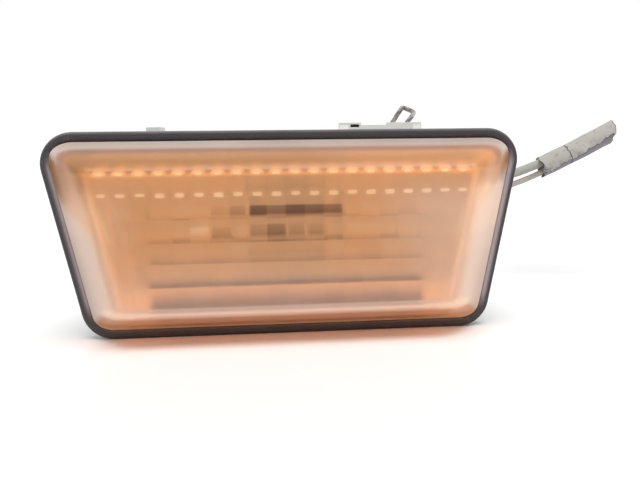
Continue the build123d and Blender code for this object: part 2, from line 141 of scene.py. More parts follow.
def new_piece(
    name: str,
    points: np.ndarray,
    quads: np.ndarray,
    marks: Optional[dict[str, np.ndarray]] = None,
    crease: float = 35.0,
    outward: bool = True,
) -> bpy.types.Object:
    """Makes a mesh object from points and quads, with its seams merged and its shading smooth.

    Args:
        name: The piece's name.
        points: Places of the points, in millimetres.
        quads: Four point numbers for each face.
        marks: Values kept with the points for the material, by name.
        crease: Angle in degrees past which an edge shades sharp.
        outward: Whether to turn all the faces of a closed shell outwards.

    Returns:
        The new object, at the origin.
    """
    mesh = bpy.data.meshes.new(name)
    mesh.vertices.add(len(points))
    mesh.vertices.foreach_set("co", (points * MM).ravel())
    mesh.loops.add(quads.size)
    mesh.loops.foreach_set("vertex_index", quads.ravel())
    mesh.polygons.add(len(quads))
    mesh.polygons.foreach_set("loop_start", np.arange(len(quads)) * 4)
    mesh.update(calc_edges=True)
    for mark, values in (marks or {}).items():
        layer = mesh.attributes.new(mark, "FLOAT", "POINT")
        layer.data.foreach_set("value", values.astype(np.float32).ravel())
    shape = bmesh.new()
    shape.from_mesh(mesh)
    bmesh.ops.remove_doubles(shape, verts=shape.verts, dist=MERGE_REACH)
    bmesh.ops.dissolve_degenerate(shape, edges=shape.edges, dist=LEAST_EDGE)
    if outward:
        bmesh.ops.recalc_face_normals(shape, faces=shape.faces)
    shape.to_mesh(mesh)
    shape.free()
    mesh.shade_smooth()
    mesh.set_sharp_from_angle(angle=math.radians(crease))
    piece = bpy.data.objects.new(name, mesh)
    bpy.context.scene.collection.objects.link(piece)
    return piece


def smooth_step(values: np.ndarray) -> np.ndarray:
    """Values from 0 to 1, eased at both ends by the cubic 3v2 - 2v3."""
    share = np.clip(values, 0.0, 1.0)
    return share * share * (3.0 - 2.0 * share)


def ramp_up(values: np.ndarray, start: Union[float, np.ndarray], over: float) -> np.ndarray:
    """Eases from 0 at a start to 1 a given length further on."""
    return smooth_step((values - start) / over)


def ramp_down(values: np.ndarray, stop: Union[float, np.ndarray], over: float) -> np.ndarray:
    """Eases from 1 to 0 over a given length, with its 0 at a stop."""
    return smooth_step((stop - values) / over)


def bell(offset: np.ndarray, width: float) -> np.ndarray:
    """A bell curve: e to the minus square of the offset, measured in widths."""
    return np.exp(-((offset / width) ** 2))


def smooth_max(first: np.ndarray, second: np.ndarray, reach: float) -> np.ndarray:
    """The greater of two surfaces, rounded by a parabola where they are within a reach of each other."""
    near = np.clip(reach - np.abs(first - second), 0.0, None) / reach
    return np.maximum(first, second) + near * near * reach / 4.0


def smooth_path(control: np.ndarray, per_run: int) -> np.ndarray:
    """A Catmull-Rom curve through control points.

    Args:
        control: The points that it passes through, as rows.
        per_run: Points on each run between two of them.

    Returns:
        Points along the curve, as rows.
    """
    ends = np.vstack([2 * control[0] - control[1], control, 2 * control[-1] - control[-2]])
    share = np.linspace(0.0, 1.0, per_run, endpoint=False)[None, :, None]
    before, start, stop, after = (ends[i : len(ends) - 3 + i, None, :] for i in range(4))
    curve = 2 * start + (stop - before) * share
    curve = curve + (2 * before - 5 * start + 4 * stop - after) * share**2
    curve = curve + (3 * start - before - 3 * stop + after) * share**3
    return np.vstack([curve.reshape(-1, control.shape[1]) / 2, control[-1:]])


# Materials


class Nodes:
    """A hand on a node tree: adds nodes with their settings and joins their sockets."""

    def __init__(self, tree: bpy.types.NodeTree) -> None:
        """Takes an empty tree."""
        self.tree = tree

    def add(self, kind: str, inputs: Optional[dict] = None, **settings: object) -> bpy.types.Node:
        """Adds a node.

        Args:
            kind: Blender's name for the node.
            inputs: A value or another node's socket for each input, by name or number.
            settings: The node's own options.

        Returns:
            The new node.
        """
        made = self.tree.nodes.new(kind)
        for option, value in settings.items():
            setattr(made, option, value)
        for socket, value in (inputs or {}).items():
            self.feed(made.inputs[socket], value)
        return made

    def feed(self, socket: bpy.types.NodeSocket, value: Setting) -> None:
        """Links another socket to an input, or sets its value.

        Args:
            socket: The input.
            value: Another node's socket, or a plain value.
        """
        if isinstance(value, bpy.types.NodeSocket):
            self.tree.links.new(value, socket)
        elif isinstance(value, tuple) and socket.type == "RGBA":
            socket.default_value = (*value, 1.0)
        else:
            socket.default_value = value

    def mix(self, share: Setting, first: Setting, second: Setting) -> bpy.types.NodeSocket:
        """Mixes two colours.

        Args:
            share: How much of the second colour shows.
            first: The colour underneath.
            second: The colour on top.

        Returns:
            The mixed colour.
        """
        node = self.add("ShaderNodeMix", {0: share, 6: first, 7: second}, data_type="RGBA")
        return node.outputs[2]

    def sum(self, how: str, first: Setting, second: Setting) -> bpy.types.NodeSocket:
        """Works out one value from two, in the way that Blender's Math node names."""
        return self.add("ShaderNodeMath", {0: first, 1: second}, operation=how).outputs[0]

    def ramp(
        self, value: Setting, low: float, high: float, start: float = 0.0, stop: float = 1.0
    ) -> bpy.types.NodeSocket:
        """Eases a value from start to stop while it goes from low to high."""
        inputs = {"Value": value, "From Min": low, "From Max": high, "To Min": start, "To Max": stop}
        return self.add("ShaderNodeMapRange", inputs, interpolation_type="SMOOTHSTEP").outputs[0]

    def noise(self, where: Setting, scale: Setting, detail: float = 3.0) -> bpy.types.NodeSocket:
        """A soft random value over the surface."""
        inputs = {"Vector": where, "Scale": scale, "Detail": detail}
        return self.add("ShaderNodeTexNoise", inputs).outputs["Fac"]

    def mark(self, name: str) -> bpy.types.NodeSocket:
        """A value kept with the piece's points."""
        return self.add("ShaderNodeAttribute", attribute_name=name).outputs["Fac"]

    def place(self) -> bpy.types.NodeSocket:
        """The point's place on the piece, in metres."""
        return self.add("ShaderNodeTexCoord").outputs["Object"]


class Effects:
    """Effects that several finishes share, as node groups that are built once."""

    _made: dict[str, bpy.types.NodeTree] = {}

    @classmethod
    def _start(
        cls, name: str, inputs: dict[str, str], outputs: dict[str, str]
    ) -> tuple[Nodes, bpy.types.Node, bpy.types.Node]:
        """Makes a group's sockets.

        Args:
            name: The group's name.
            inputs: Kind of each input, by name.
            outputs: Kind of each output, by name.

        Returns:
            A hand on the group, its input node and its output node.
        """
        tree = bpy.data.node_groups.new(name, "ShaderNodeTree")
        for socket, kind in inputs.items():
            tree.interface.new_socket(name=socket, in_out="INPUT", socket_type=kind)
        for socket, kind in outputs.items():
            tree.interface.new_socket(name=socket, in_out="OUTPUT", socket_type=kind)
        cls._made[name] = tree
        hand = Nodes(tree)
        return hand, hand.add("NodeGroupInput"), hand.add("NodeGroupOutput")

    @classmethod
    def _use(cls, hand: Nodes, name: str, inputs: dict) -> bpy.types.Node:
        """Places a group in a material with its own values.

        Args:
            hand: The material's nodes.
            name: The group's name.
            inputs: A value or another node's socket for each input, by name.

        Returns:
            The group's node.
        """
        node = hand.add("ShaderNodeGroup", node_tree=cls._made[name])
        for socket, value in inputs.items():
            hand.feed(node.inputs[socket], value)
        return node

    @classmethod
    def grime(cls, hand: Nodes, clean: Setting, dirt: Setting, scale: float, amount: float) -> bpy.types.Node:
        """Blotches of dirt over a clean colour, with fine specks in them.

        Args:
            hand: The material's nodes.
            clean: Colour without dirt.
            dirt: Colour of the dirt.
            scale: Size of the blotches, as a noise scale for metres.
            amount: Share of the surface that is dirty.

        Returns:
            A node that puts out Color and Mask.
        """
        if "grime" not in cls._made:
            kinds = {"Clean": "NodeSocketColor", "Dirt": "NodeSocketColor"}
            kinds |= {"Vector": "NodeSocketVector", "Scale": "NodeSocketFloat", "Amount": "NodeSocketFloat"}
            results = {"Color": "NodeSocketColor", "Mask": "NodeSocketFloat"}
            inner, given, result = cls._start("grime", kinds, results)
            where = given.outputs["Vector"]
            blotch = inner.noise(where, given.outputs["Scale"], 5.0)
            fine = inner.noise(where, inner.sum("MULTIPLY", given.outputs["Scale"], 7.0), 2.0)
            both = inner.sum("ADD", inner.sum("MULTIPLY", blotch, 0.75), inner.sum("MULTIPLY", fine, 0.25))
            level = inner.sum("SUBTRACT", 0.72, inner.sum("MULTIPLY", given.outputs["Amount"], 0.4))
            above = inner.sum("MULTIPLY", inner.sum("SUBTRACT", both, level), 5.0)
            mask = inner.ramp(above, 0.0, 1.0)
            inner.feed(result.inputs["Mask"], mask)
            inner.feed(result.inputs["Color"], inner.mix(mask, given.outputs["Clean"], given.outputs["Dirt"]))
        values = {"Clean": clean, "Dirt": dirt, "Vector": hand.place(), "Scale": scale, "Amount": amount}
        return cls._use(hand, "grime", values)

    @classmethod
    def settled(cls, hand: Nodes, scale: float) -> bpy.types.NodeSocket:
        """Dust that has settled in patches on the faces that look up.

        Args:
            hand: The material's nodes.
            scale: Size of the patches, as a noise scale for metres.

        Returns:
            A mask of the dust.
        """
        if "settled" not in cls._made:
            kinds = {"Vector": "NodeSocketVector", "Scale": "NodeSocketFloat"}
            inner, given, result = cls._start("settled", kinds, {"Mask": "NodeSocketFloat"})
            facing = inner.add("ShaderNodeNewGeometry").outputs["Normal"]
            height = inner.add("ShaderNodeSeparateXYZ", {0: facing}).outputs["Z"]
            patchy = inner.noise(given.outputs["Vector"], given.outputs["Scale"], 4.0)
            patches = inner.ramp(patchy, 0.2, 0.75, 0.5, 1.0)
            mask = inner.sum("MULTIPLY", inner.ramp(height, 0.15, 0.95), patches)
            inner.feed(result.inputs["Mask"], mask)
        return cls._use(hand, "settled", {"Vector": hand.place(), "Scale": scale}).outputs["Mask"]

    @classmethod
    def grain(cls, hand: Nodes, scale: float, strength: float) -> bpy.types.NodeSocket:
        """Fine moulded grain as a bumped normal.

        Args:
            hand: The material's nodes.
            scale: Noise scale of the grain, for metres.
            strength: Strength of the bump.

        Returns:
            The bumped normal.
        """
        if "grain" not in cls._made:
            kinds = {"Vector": "NodeSocketVector", "Scale": "NodeSocketFloat"}
            inner, given, result = cls._start("grain", kinds, {"Height": "NodeSocketFloat"})
            coarse = inner.noise(given.outputs["Vector"], given.outputs["Scale"], 4.0)
            finer = inner.sum("MULTIPLY", given.outputs["Scale"], 4.0)
            pits = inner.noise(given.outputs["Vector"], finer, 1.0)
            height = inner.sum("ADD", coarse, inner.sum("MULTIPLY", pits, 0.3))
            inner.feed(result.inputs["Height"], height)
        height = cls._use(hand, "grain", {"Vector": hand.place(), "Scale": scale}).outputs["Height"]
        bump = hand.add("ShaderNodeBump", {"Height": height, "Strength": strength, "Distance": GRAIN_DEPTH})
        return bump.outputs["Normal"]


def start_material(name: str) -> tuple[bpy.types.Material, Nodes, bpy.types.Node, bpy.types.Node]:
    """Makes a material with one Principled shader on its output.

    Args:
        name: The material's name.

    Returns:
        The material, a hand on its nodes, the shader and the output node.
    """
    material = bpy.data.materials.new(name)
    material.use_nodes = True
    material.node_tree.nodes.clear()
    hand = Nodes(material.node_tree)
    shader = hand.add("ShaderNodeBsdfPrincipled")
    output = hand.add("ShaderNodeOutputMaterial", {"Surface": shader.outputs[0]})
    return material, hand, shader, output


def let_lamps_through(hand: Nodes, shader: bpy.types.Node, output: bpy.types.Node, tint: Setting) -> None:
    """Lets the lamps' light pass a clear wall, tinted, so that what is behind it is lit.

    Args:
        hand: The material's nodes.
        shader: The wall's own shader.
        output: The material's output node.
        tint: Colour of the light that has passed.
    """
    clear = hand.add("ShaderNodeBsdfTransparent", {"Color": tint})
    path = hand.add("ShaderNodeLightPath")
    inputs = {0: path.outputs["Is Shadow Ray"], 1: shader.outputs[0], 2: clear.outputs[0]}
    both = hand.add("ShaderNodeMixShader", inputs)
    hand.feed(output.inputs["Surface"], both.outputs[0])


class Finish(Protocol):
    """What every finish has: a name, and a way to build its material."""

    name: str

    def make(self) -> bpy.types.Material:
        """Builds the material.

        Returns:
            The material.
        """


@dataclass(frozen=True)
class MouldedPlastic:
    """Opaque moulded plastic with grain, dirt, and dust on the faces that look up."""

    name: str
    clean: Colour
    dirt: Colour
    dust: Colour
    grime: Grime
    roughness: float = 0.5
    blotch_scale: float = 120.0
    grain_scale: float = 2500.0
    grain_strength: float = 0.12
    dust_scale: float = 140.0
    dirt_roughness: float = 0.25

    def make(self) -> bpy.types.Material:
        """Builds the material.

        Returns:
            The material.
        """
        material, hand, shader, _ = start_material(self.name)
        dirt = Effects.grime(hand, self.clean, self.dirt, self.blotch_scale, self.grime.value)
        dusty = hand.mix(Effects.settled(hand, self.dust_scale), dirt.outputs["Color"], self.dust)
        hand.feed(shader.inputs["Base Color"], dusty)
        dirty_roughness = min(1.0, self.roughness + self.dirt_roughness)
        rough = hand.ramp(dirt.outputs["Mask"], 0.0, 1.0, self.roughness, dirty_roughness)
        hand.feed(shader.inputs["Roughness"], rough)
        hand.feed(shader.inputs["Normal"], Effects.grain(hand, self.grain_scale, self.grain_strength))
        return material


@dataclass(frozen=True)
class DustyRubber:
    """Black rubber whose upper faces have greyed with dust, with a paler tone where the mark says."""

    name: str
    black: Colour
    dust: Colour
    pale_tone: Colour = (0.4, 0.36, 0.385)
    roughness: float = 0.62
    dusty_roughness: float = 0.85
    dust_scale: float = 160.0
    age_scale: float = 260.0
    grain_scale: float = 1800.0
    grain_strength: float = 0.15

    def make(self) -> bpy.types.Material:
        """Builds the material.

        Returns:
            The material.
        """
        material, hand, shader, _ = start_material(self.name)
        settled = Effects.settled(hand, self.dust_scale)
        aged = Effects.grime(hand, self.black, self.dust, self.age_scale, Grime.LIGHT.value)
        dusty = hand.mix(settled, aged.outputs["Color"], self.dust)
        hand.feed(shader.inputs["Base Color"], hand.mix(hand.mark("pale_tone"), dusty, self.pale_tone))
        rough = hand.ramp(settled, 0.0, 1.0, self.roughness, self.dusty_roughness)
        hand.feed(shader.inputs["Roughness"], rough)
        hand.feed(shader.inputs["Normal"], Effects.grain(hand, self.grain_scale, self.grain_strength))
        return material


@dataclass(frozen=True)
class AmberPlastic:
    """Amber lens plastic, clouded with age.

    The piece's marks say where it is clouded white or painted with a highlight, where it is ashy, where
    painted shade darkens its amber, and where painted light and shade picture what its optics show.
    """

    name: str = "amber lens"
    amber: Colour = (1.0, 0.59, 0.275)
    # Painted shade: a darker, more saturated amber above the flute band and in the upper left corner.
    shaded_amber: Colour = (0.7, 0.36, 0.09)
    # Painted shade of the lens's down-facing lower wall.
    lower_wall_shade: Colour = (0.77, 0.5, 0.32)
    # Clouded white of age, and the painted highlight along the lower round edge.
    chalk_and_highlight: Colour = (1.0, 0.9, 0.8)
    ash: Colour = (0.42, 0.27, 0.21)
    dust: Colour = (1.0, 0.9, 0.82)
    # Painted light and shade colours of the optics: the highlight colour, the emission painted on the lens,
    # and the shade colour.
    bright: Colour = (1.0, 0.7, 0.42)
    gathered: Colour = (0.29, 0.155, 0.075)
    shaded: Colour = (0.25, 0.09, 0.02)
    lamp_tint: Colour = (0.78, 0.5, 0.31)
    low_tint: Colour = (0.03, 0.04, 0.045)
    clearness: float = 0.7
    index: float = 1.49
    cloud_scale: float = 90.0
    haze: tuple[float, float] = (0.3, 0.34)
    chalk_roughness: float = 0.25
    inner_roughness: float = 0.04
    sheen_roughness: float = 0.7

    def make(self) -> bpy.types.Material:
        """Builds the material.

        Returns:
            The material.
        """
        material, hand, shader, output = start_material(self.name)
        cloud = hand.noise(hand.place(), self.cloud_scale, 4.0)
        painted_light = hand.mark("painted_light")
        # Painted light and shade of the optics: above zero the amber is lifted to a highlight colour, below
        # zero sunk to a shade colour.
        colour = hand.mix(hand.ramp(painted_light, 0.0, 1.0), self.amber, self.bright)
        colour = hand.mix(hand.ramp(painted_light, -1.0, 0.0, 1.0, 0.0), colour, self.shaded)
        for mark, shade in (("shaded_amber", self.shaded_amber), ("lower_wall_shade", self.lower_wall_shade), ("ash", self.ash)):
            colour = hand.mix(hand.mark(mark), colour, shade)
        # Clouded white, with the painted highlight along the lower round edge.
        chalk_and_highlight_share = hand.sum("MULTIPLY", hand.mark("chalk_and_highlight"), hand.ramp(cloud, 0.2, 0.8, 0.75, 1.0))
        hand.feed(shader.inputs["Base Color"], hand.mix(chalk_and_highlight_share, colour, self.chalk_and_highlight))
        hand.feed(shader.inputs["Sheen Weight"], chalk_and_highlight_share)
        hand.feed(shader.inputs["Sheen Tint"], self.dust)
        shader.inputs["Sheen Roughness"].default_value = self.sheen_roughness
        haze = hand.ramp(cloud, 0.3, 0.7, *self.haze)
        rough = hand.sum("ADD", haze, hand.sum("MULTIPLY", chalk_and_highlight_share, self.chalk_roughness))
        outside = hand.sum("SUBTRACT", 1.0, hand.mark("inside"))
        # Painted emission: the lens gives off light, though it is no lamp, where its outer skin carries
        # strong painted light: the dashes, the lower round edge and the lower wall.
        beads = hand.sum("MULTIPLY", hand.ramp(painted_light, 0.4, 0.9), outside)
        hand.feed(shader.inputs["Emission Color"], hand.mix(beads, (0.0, 0.0, 0.0), self.gathered))
        shader.inputs["Emission Strength"].default_value = 1.0
        rough = hand.sum("MAXIMUM", self.inner_roughness, hand.sum("MULTIPLY", rough, outside))
        hand.feed(shader.inputs["Roughness"], rough)
        shader.inputs["Transmission Weight"].default_value = self.clearness
        shader.inputs["IOR"].default_value = self.index
        # The lamps' light passes the lower wall darker where its painted shade lies.
        tint = hand.mix(hand.ramp(hand.mark("lower_wall_shade"), 0.6, 1.0), self.lamp_tint, self.low_tint)
        let_lamps_through(hand, shader, output, tint)
        return material


@dataclass(frozen=True)
class ClearGlass:
    """Thin glass of the bulb, clear once and smoked with use."""

    name: str = "bulb glass"
    tint: Colour = (0.8, 0.78, 0.75)
    smoke: Colour = (0.45, 0.42, 0.38)
    smoke_scale: float = 180.0
    roughness: float = 0.03
    index: float = 1.47

    def make(self) -> bpy.types.Material:
        """Builds the material.

        Returns:
            The material.
        """
        material, hand, shader, output = start_material(self.name)
        smoke = Effects.grime(hand, self.tint, self.smoke, self.smoke_scale, Grime.LIGHT.value)
        hand.feed(shader.inputs["Base Color"], smoke.outputs["Color"])
        shader.inputs["Roughness"].default_value = self.roughness
        shader.inputs["Transmission Weight"].default_value = 1.0
        shader.inputs["IOR"].default_value = self.index
        let_lamps_through(hand, shader, output, self.tint)
        return material


@dataclass(frozen=True)
class WornMetal:
    """Bare metal with dull or rusty patches."""

    name: str
    bright: Colour
    tarnish: Colour
    grime: Grime
    roughness: float = 0.32
    dull_roughness: float = 0.75
    dull_metallic: float = 0.35
    patch_scale: float = 700.0
    grain_scale: float = 4000.0
    grain_strength: float = 0.08

    def make(self) -> bpy.types.Material:
        """Builds the material.

        Returns:
            The material.
        """
        material, hand, shader, _ = start_material(self.name)
        dull = Effects.grime(hand, self.bright, self.tarnish, self.patch_scale, self.grime.value)
        hand.feed(shader.inputs["Base Color"], dull.outputs["Color"])
        mask = dull.outputs["Mask"]
        rough = hand.ramp(mask, 0.0, 1.0, self.roughness, self.dull_roughness)
        hand.feed(shader.inputs["Roughness"], rough)
        hand.feed(shader.inputs["Metallic"], hand.ramp(mask, 0.0, 1.0, 1.0, self.dull_metallic))
        hand.feed(shader.inputs["Normal"], Effects.grain(hand, self.grain_scale, self.grain_strength))
        return material


@dataclass(frozen=True)
class CrackedSleeve:
    """Grey split sleeve: paler on its outer lap, with painted shade below its seam and along its crack, torn
    edge and ends, and grime.
    """

    name: str = "cracked sleeve"
    pale: Colour = (0.46, 0.44, 0.405)
    stain: Colour = (0.3, 0.265, 0.22)
    # Painted shade on the inner lap below the seam.
    lap: Colour = (0.25, 0.225, 0.25)
    # Painted shade along the crack, the torn edge and the ends.
    painted_edge_shade: Colour = (0.02, 0.018, 0.018)
    crack_place: float = 0.44
    crack_wander: float = 0.08
    crack_edges: tuple[float, float] = (0.003, 0.01)
    stain_scale: float = 900.0
    ragged_scale: float = 700.0
    roughness: float = 0.6
    grain_scale: float = 1500.0
    grain_strength: float = 0.4

    def make(self) -> bpy.types.Material:
        """Builds the material.

        Returns:
            The material.
        """
        material, hand, shader, _ = start_material(self.name)
        dirty = Effects.grime(hand, self.pale, self.stain, self.stain_scale, Grime.WORN.value)
        under = hand.mark("under")
        along = hand.mark("along")
        ragged = hand.noise(hand.place(), self.ragged_scale)
        # Painted shade: the inner lap below the seam is darker.
        colour = hand.mix(hand.ramp(under, 0.3, 0.7), dirty.outputs["Color"], self.lap)
        # Painted shade along the crack, the torn edge and the ends.
        wander = hand.sum("MULTIPLY", hand.sum("SUBTRACT", ragged, 0.5), self.crack_wander)
        place = hand.sum("SUBTRACT", hand.sum("ADD", along, wander), self.crack_place)
        crack = hand.ramp(hand.sum("ABSOLUTE", place, 0.0), *self.crack_edges, 1.0, 0.0)
        rim = hand.mark("rim")
        painted_edge_shade = hand.sum("MAXIMUM", hand.sum("MULTIPLY", crack, 0.85), hand.ramp(rim, 0.55, 0.95))
        hand.feed(shader.inputs["Base Color"], hand.mix(painted_edge_shade, colour, self.painted_edge_shade))
        shader.inputs["Roughness"].default_value = self.roughness
        hand.feed(shader.inputs["Normal"], Effects.grain(hand, self.grain_scale, self.grain_strength))
        return material


@dataclass(frozen=True)
class Insulation:
    """Soft wire insulation with grime along it."""

    name: str
    clean: Colour
    dirt: Colour
    grime_scale: float = 420.0
    roughness: float = 0.4
    dirt_roughness: float = 0.75
    grain_scale: float = 1600.0
    grain_strength: float = 0.2

    def make(self) -> bpy.types.Material:
        """Builds the material.

        Returns:
            The material.
        """
        material, hand, shader, _ = start_material(self.name)
        dirty = Effects.grime(hand, self.clean, self.dirt, self.grime_scale, Grime.WORN.value)
        hand.feed(shader.inputs["Base Color"], dirty.outputs["Color"])
        rough = hand.ramp(dirty.outputs["Mask"], 0.0, 1.0, self.roughness, self.dirt_roughness)
        hand.feed(shader.inputs["Roughness"], rough)
        hand.feed(shader.inputs["Normal"], Effects.grain(hand, self.grain_scale, self.grain_strength))
        return material


# Pieces of the lamp


def ride(piece: bpy.types.Object, finish: Finish, slot: str, *nodes: str) -> None:
    """Gives a piece its finish and fixes it to the lamp's body, in place of CAD nodes.

    Args:
        piece: The piece.
        finish: Its finish.
        slot: The CAD nodes' material slot; not used.
        nodes: The CAD nodes that it stands for.
    """
    piece.data.materials.append(finish.make())
    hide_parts(*nodes)
    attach(piece, BODY)
    LOG.info("%s stands for %s", piece.name, ", ".join(nodes))


@dataclass(frozen=True)
class FaceOutline:
    """The lamp's face at the gasket's outer edge: a trapezoid, wide at the top, with rounded corners."""

    top_width: float = 77.0
    height: float = 32.6
    slope: float = 11.8
    corner: float = 5.0

    @property
    def lean(self) -> float:
        """Angle of the slanted sides from upright, in radians."""
        return math.radians(self.slope)

    def half_width(self, height: np.ndarray, inset: float) -> np.ndarray:
        """Half the width at a height, drawn in by an inset square to the slanted side."""
        drop = self.height / 2 - height
        return self.top_width / 2 - drop * math.tan(self.lean) - inset / math.cos(self.lean)

    def side_depth(self, across: np.ndarray, height: np.ndarray) -> np.ndarray:
        """How far points lie inside the nearer slanted side, square to it."""
        return (self.half_width(height, 0.0) - np.abs(across)) * math.cos(self.lean)

    def edge_depth(self, height: np.ndarray) -> np.ndarray:
        """How far points lie inside the nearer level edge."""
        return self.height / 2 - np.abs(height)

    def rounded_half_width(self, height: np.ndarray, inset: float, corner: float) -> np.ndarray:
        """Half the width of the outline, drawn in and with its corners rounded.

        Past the point where a corner's circle touches the slanted side, the width is the place of the
        circle's middle and the square root of the radius squared less the height squared from that middle.

        Args:
            height: Heights at which the width is wanted.
            inset: How far the outline is drawn in.
            corner: Radius of its corners.

        Returns:
            Half the width at each height.
        """
        top = self.height / 2 - inset
        width = self.half_width(height, inset)
        for level in (top - corner, corner - top):
            middle = self.half_width(level, inset) - corner / math.cos(self.lean)
            touch = level - corner * math.sin(self.lean)
            arc = middle + np.sqrt(np.clip(corner**2 - (height - level) ** 2, 0.0, None))
            past = height > touch if level > 0 else height < touch
            width = np.where(past, arc, width)
        return width

    def ring(self, inset: float, corner: float, per_corner: int, per_side: int) -> np.ndarray:
        """The closed outline as points, anticlockwise from the front.

        Args:
            inset: How far the outline is drawn in.
            corner: Radius of its corners.
            per_corner: Points on each corner's arc.
            per_side: Points on each straight side.

        Returns:
            X and Z of each point, as rows.
        """
        top = self.height / 2 - inset
        reach = corner / math.cos(self.lean)
        high = self.half_width(top - corner, inset) - reach
        low = self.half_width(corner - top, inset) - reach
        quarter = math.pi / 2
        turns = [-self.lean, quarter, math.pi + self.lean, 3 * quarter, 2 * math.pi - self.lean]
        level = top - corner
        middles = np.array([[high, level], [-high, level], [-low, -level], [low, -level]])
        share = np.linspace(0.0, 1.0, per_corner)
        angle = np.array(turns[:-1])[:, None] + np.diff(turns)[:, None] * share[None, :]
        arcs = middles[:, None, :] + corner * np.stack([np.cos(angle), np.sin(angle)], axis=-1)
        run = np.linspace(0.0, 1.0, per_side + 2)[None, 1:-1, None]
        sides = arcs[:, -1:, :] * (1 - run) + np.roll(arcs, -1, axis=0)[:, :1, :] * run
        return np.concatenate([arcs, sides], axis=1).reshape(-1, 2)


@dataclass(frozen=True)
class DashRow:
    """A row of painted highlights, bright dashes, at one end of the flutes.

    Its middle lies a lift above the beads, and it goes from its peak less its gap in the columns' middles to
    minus its gap between them.
    """

    lift: float
    width: float
    peak: float
    gap: float


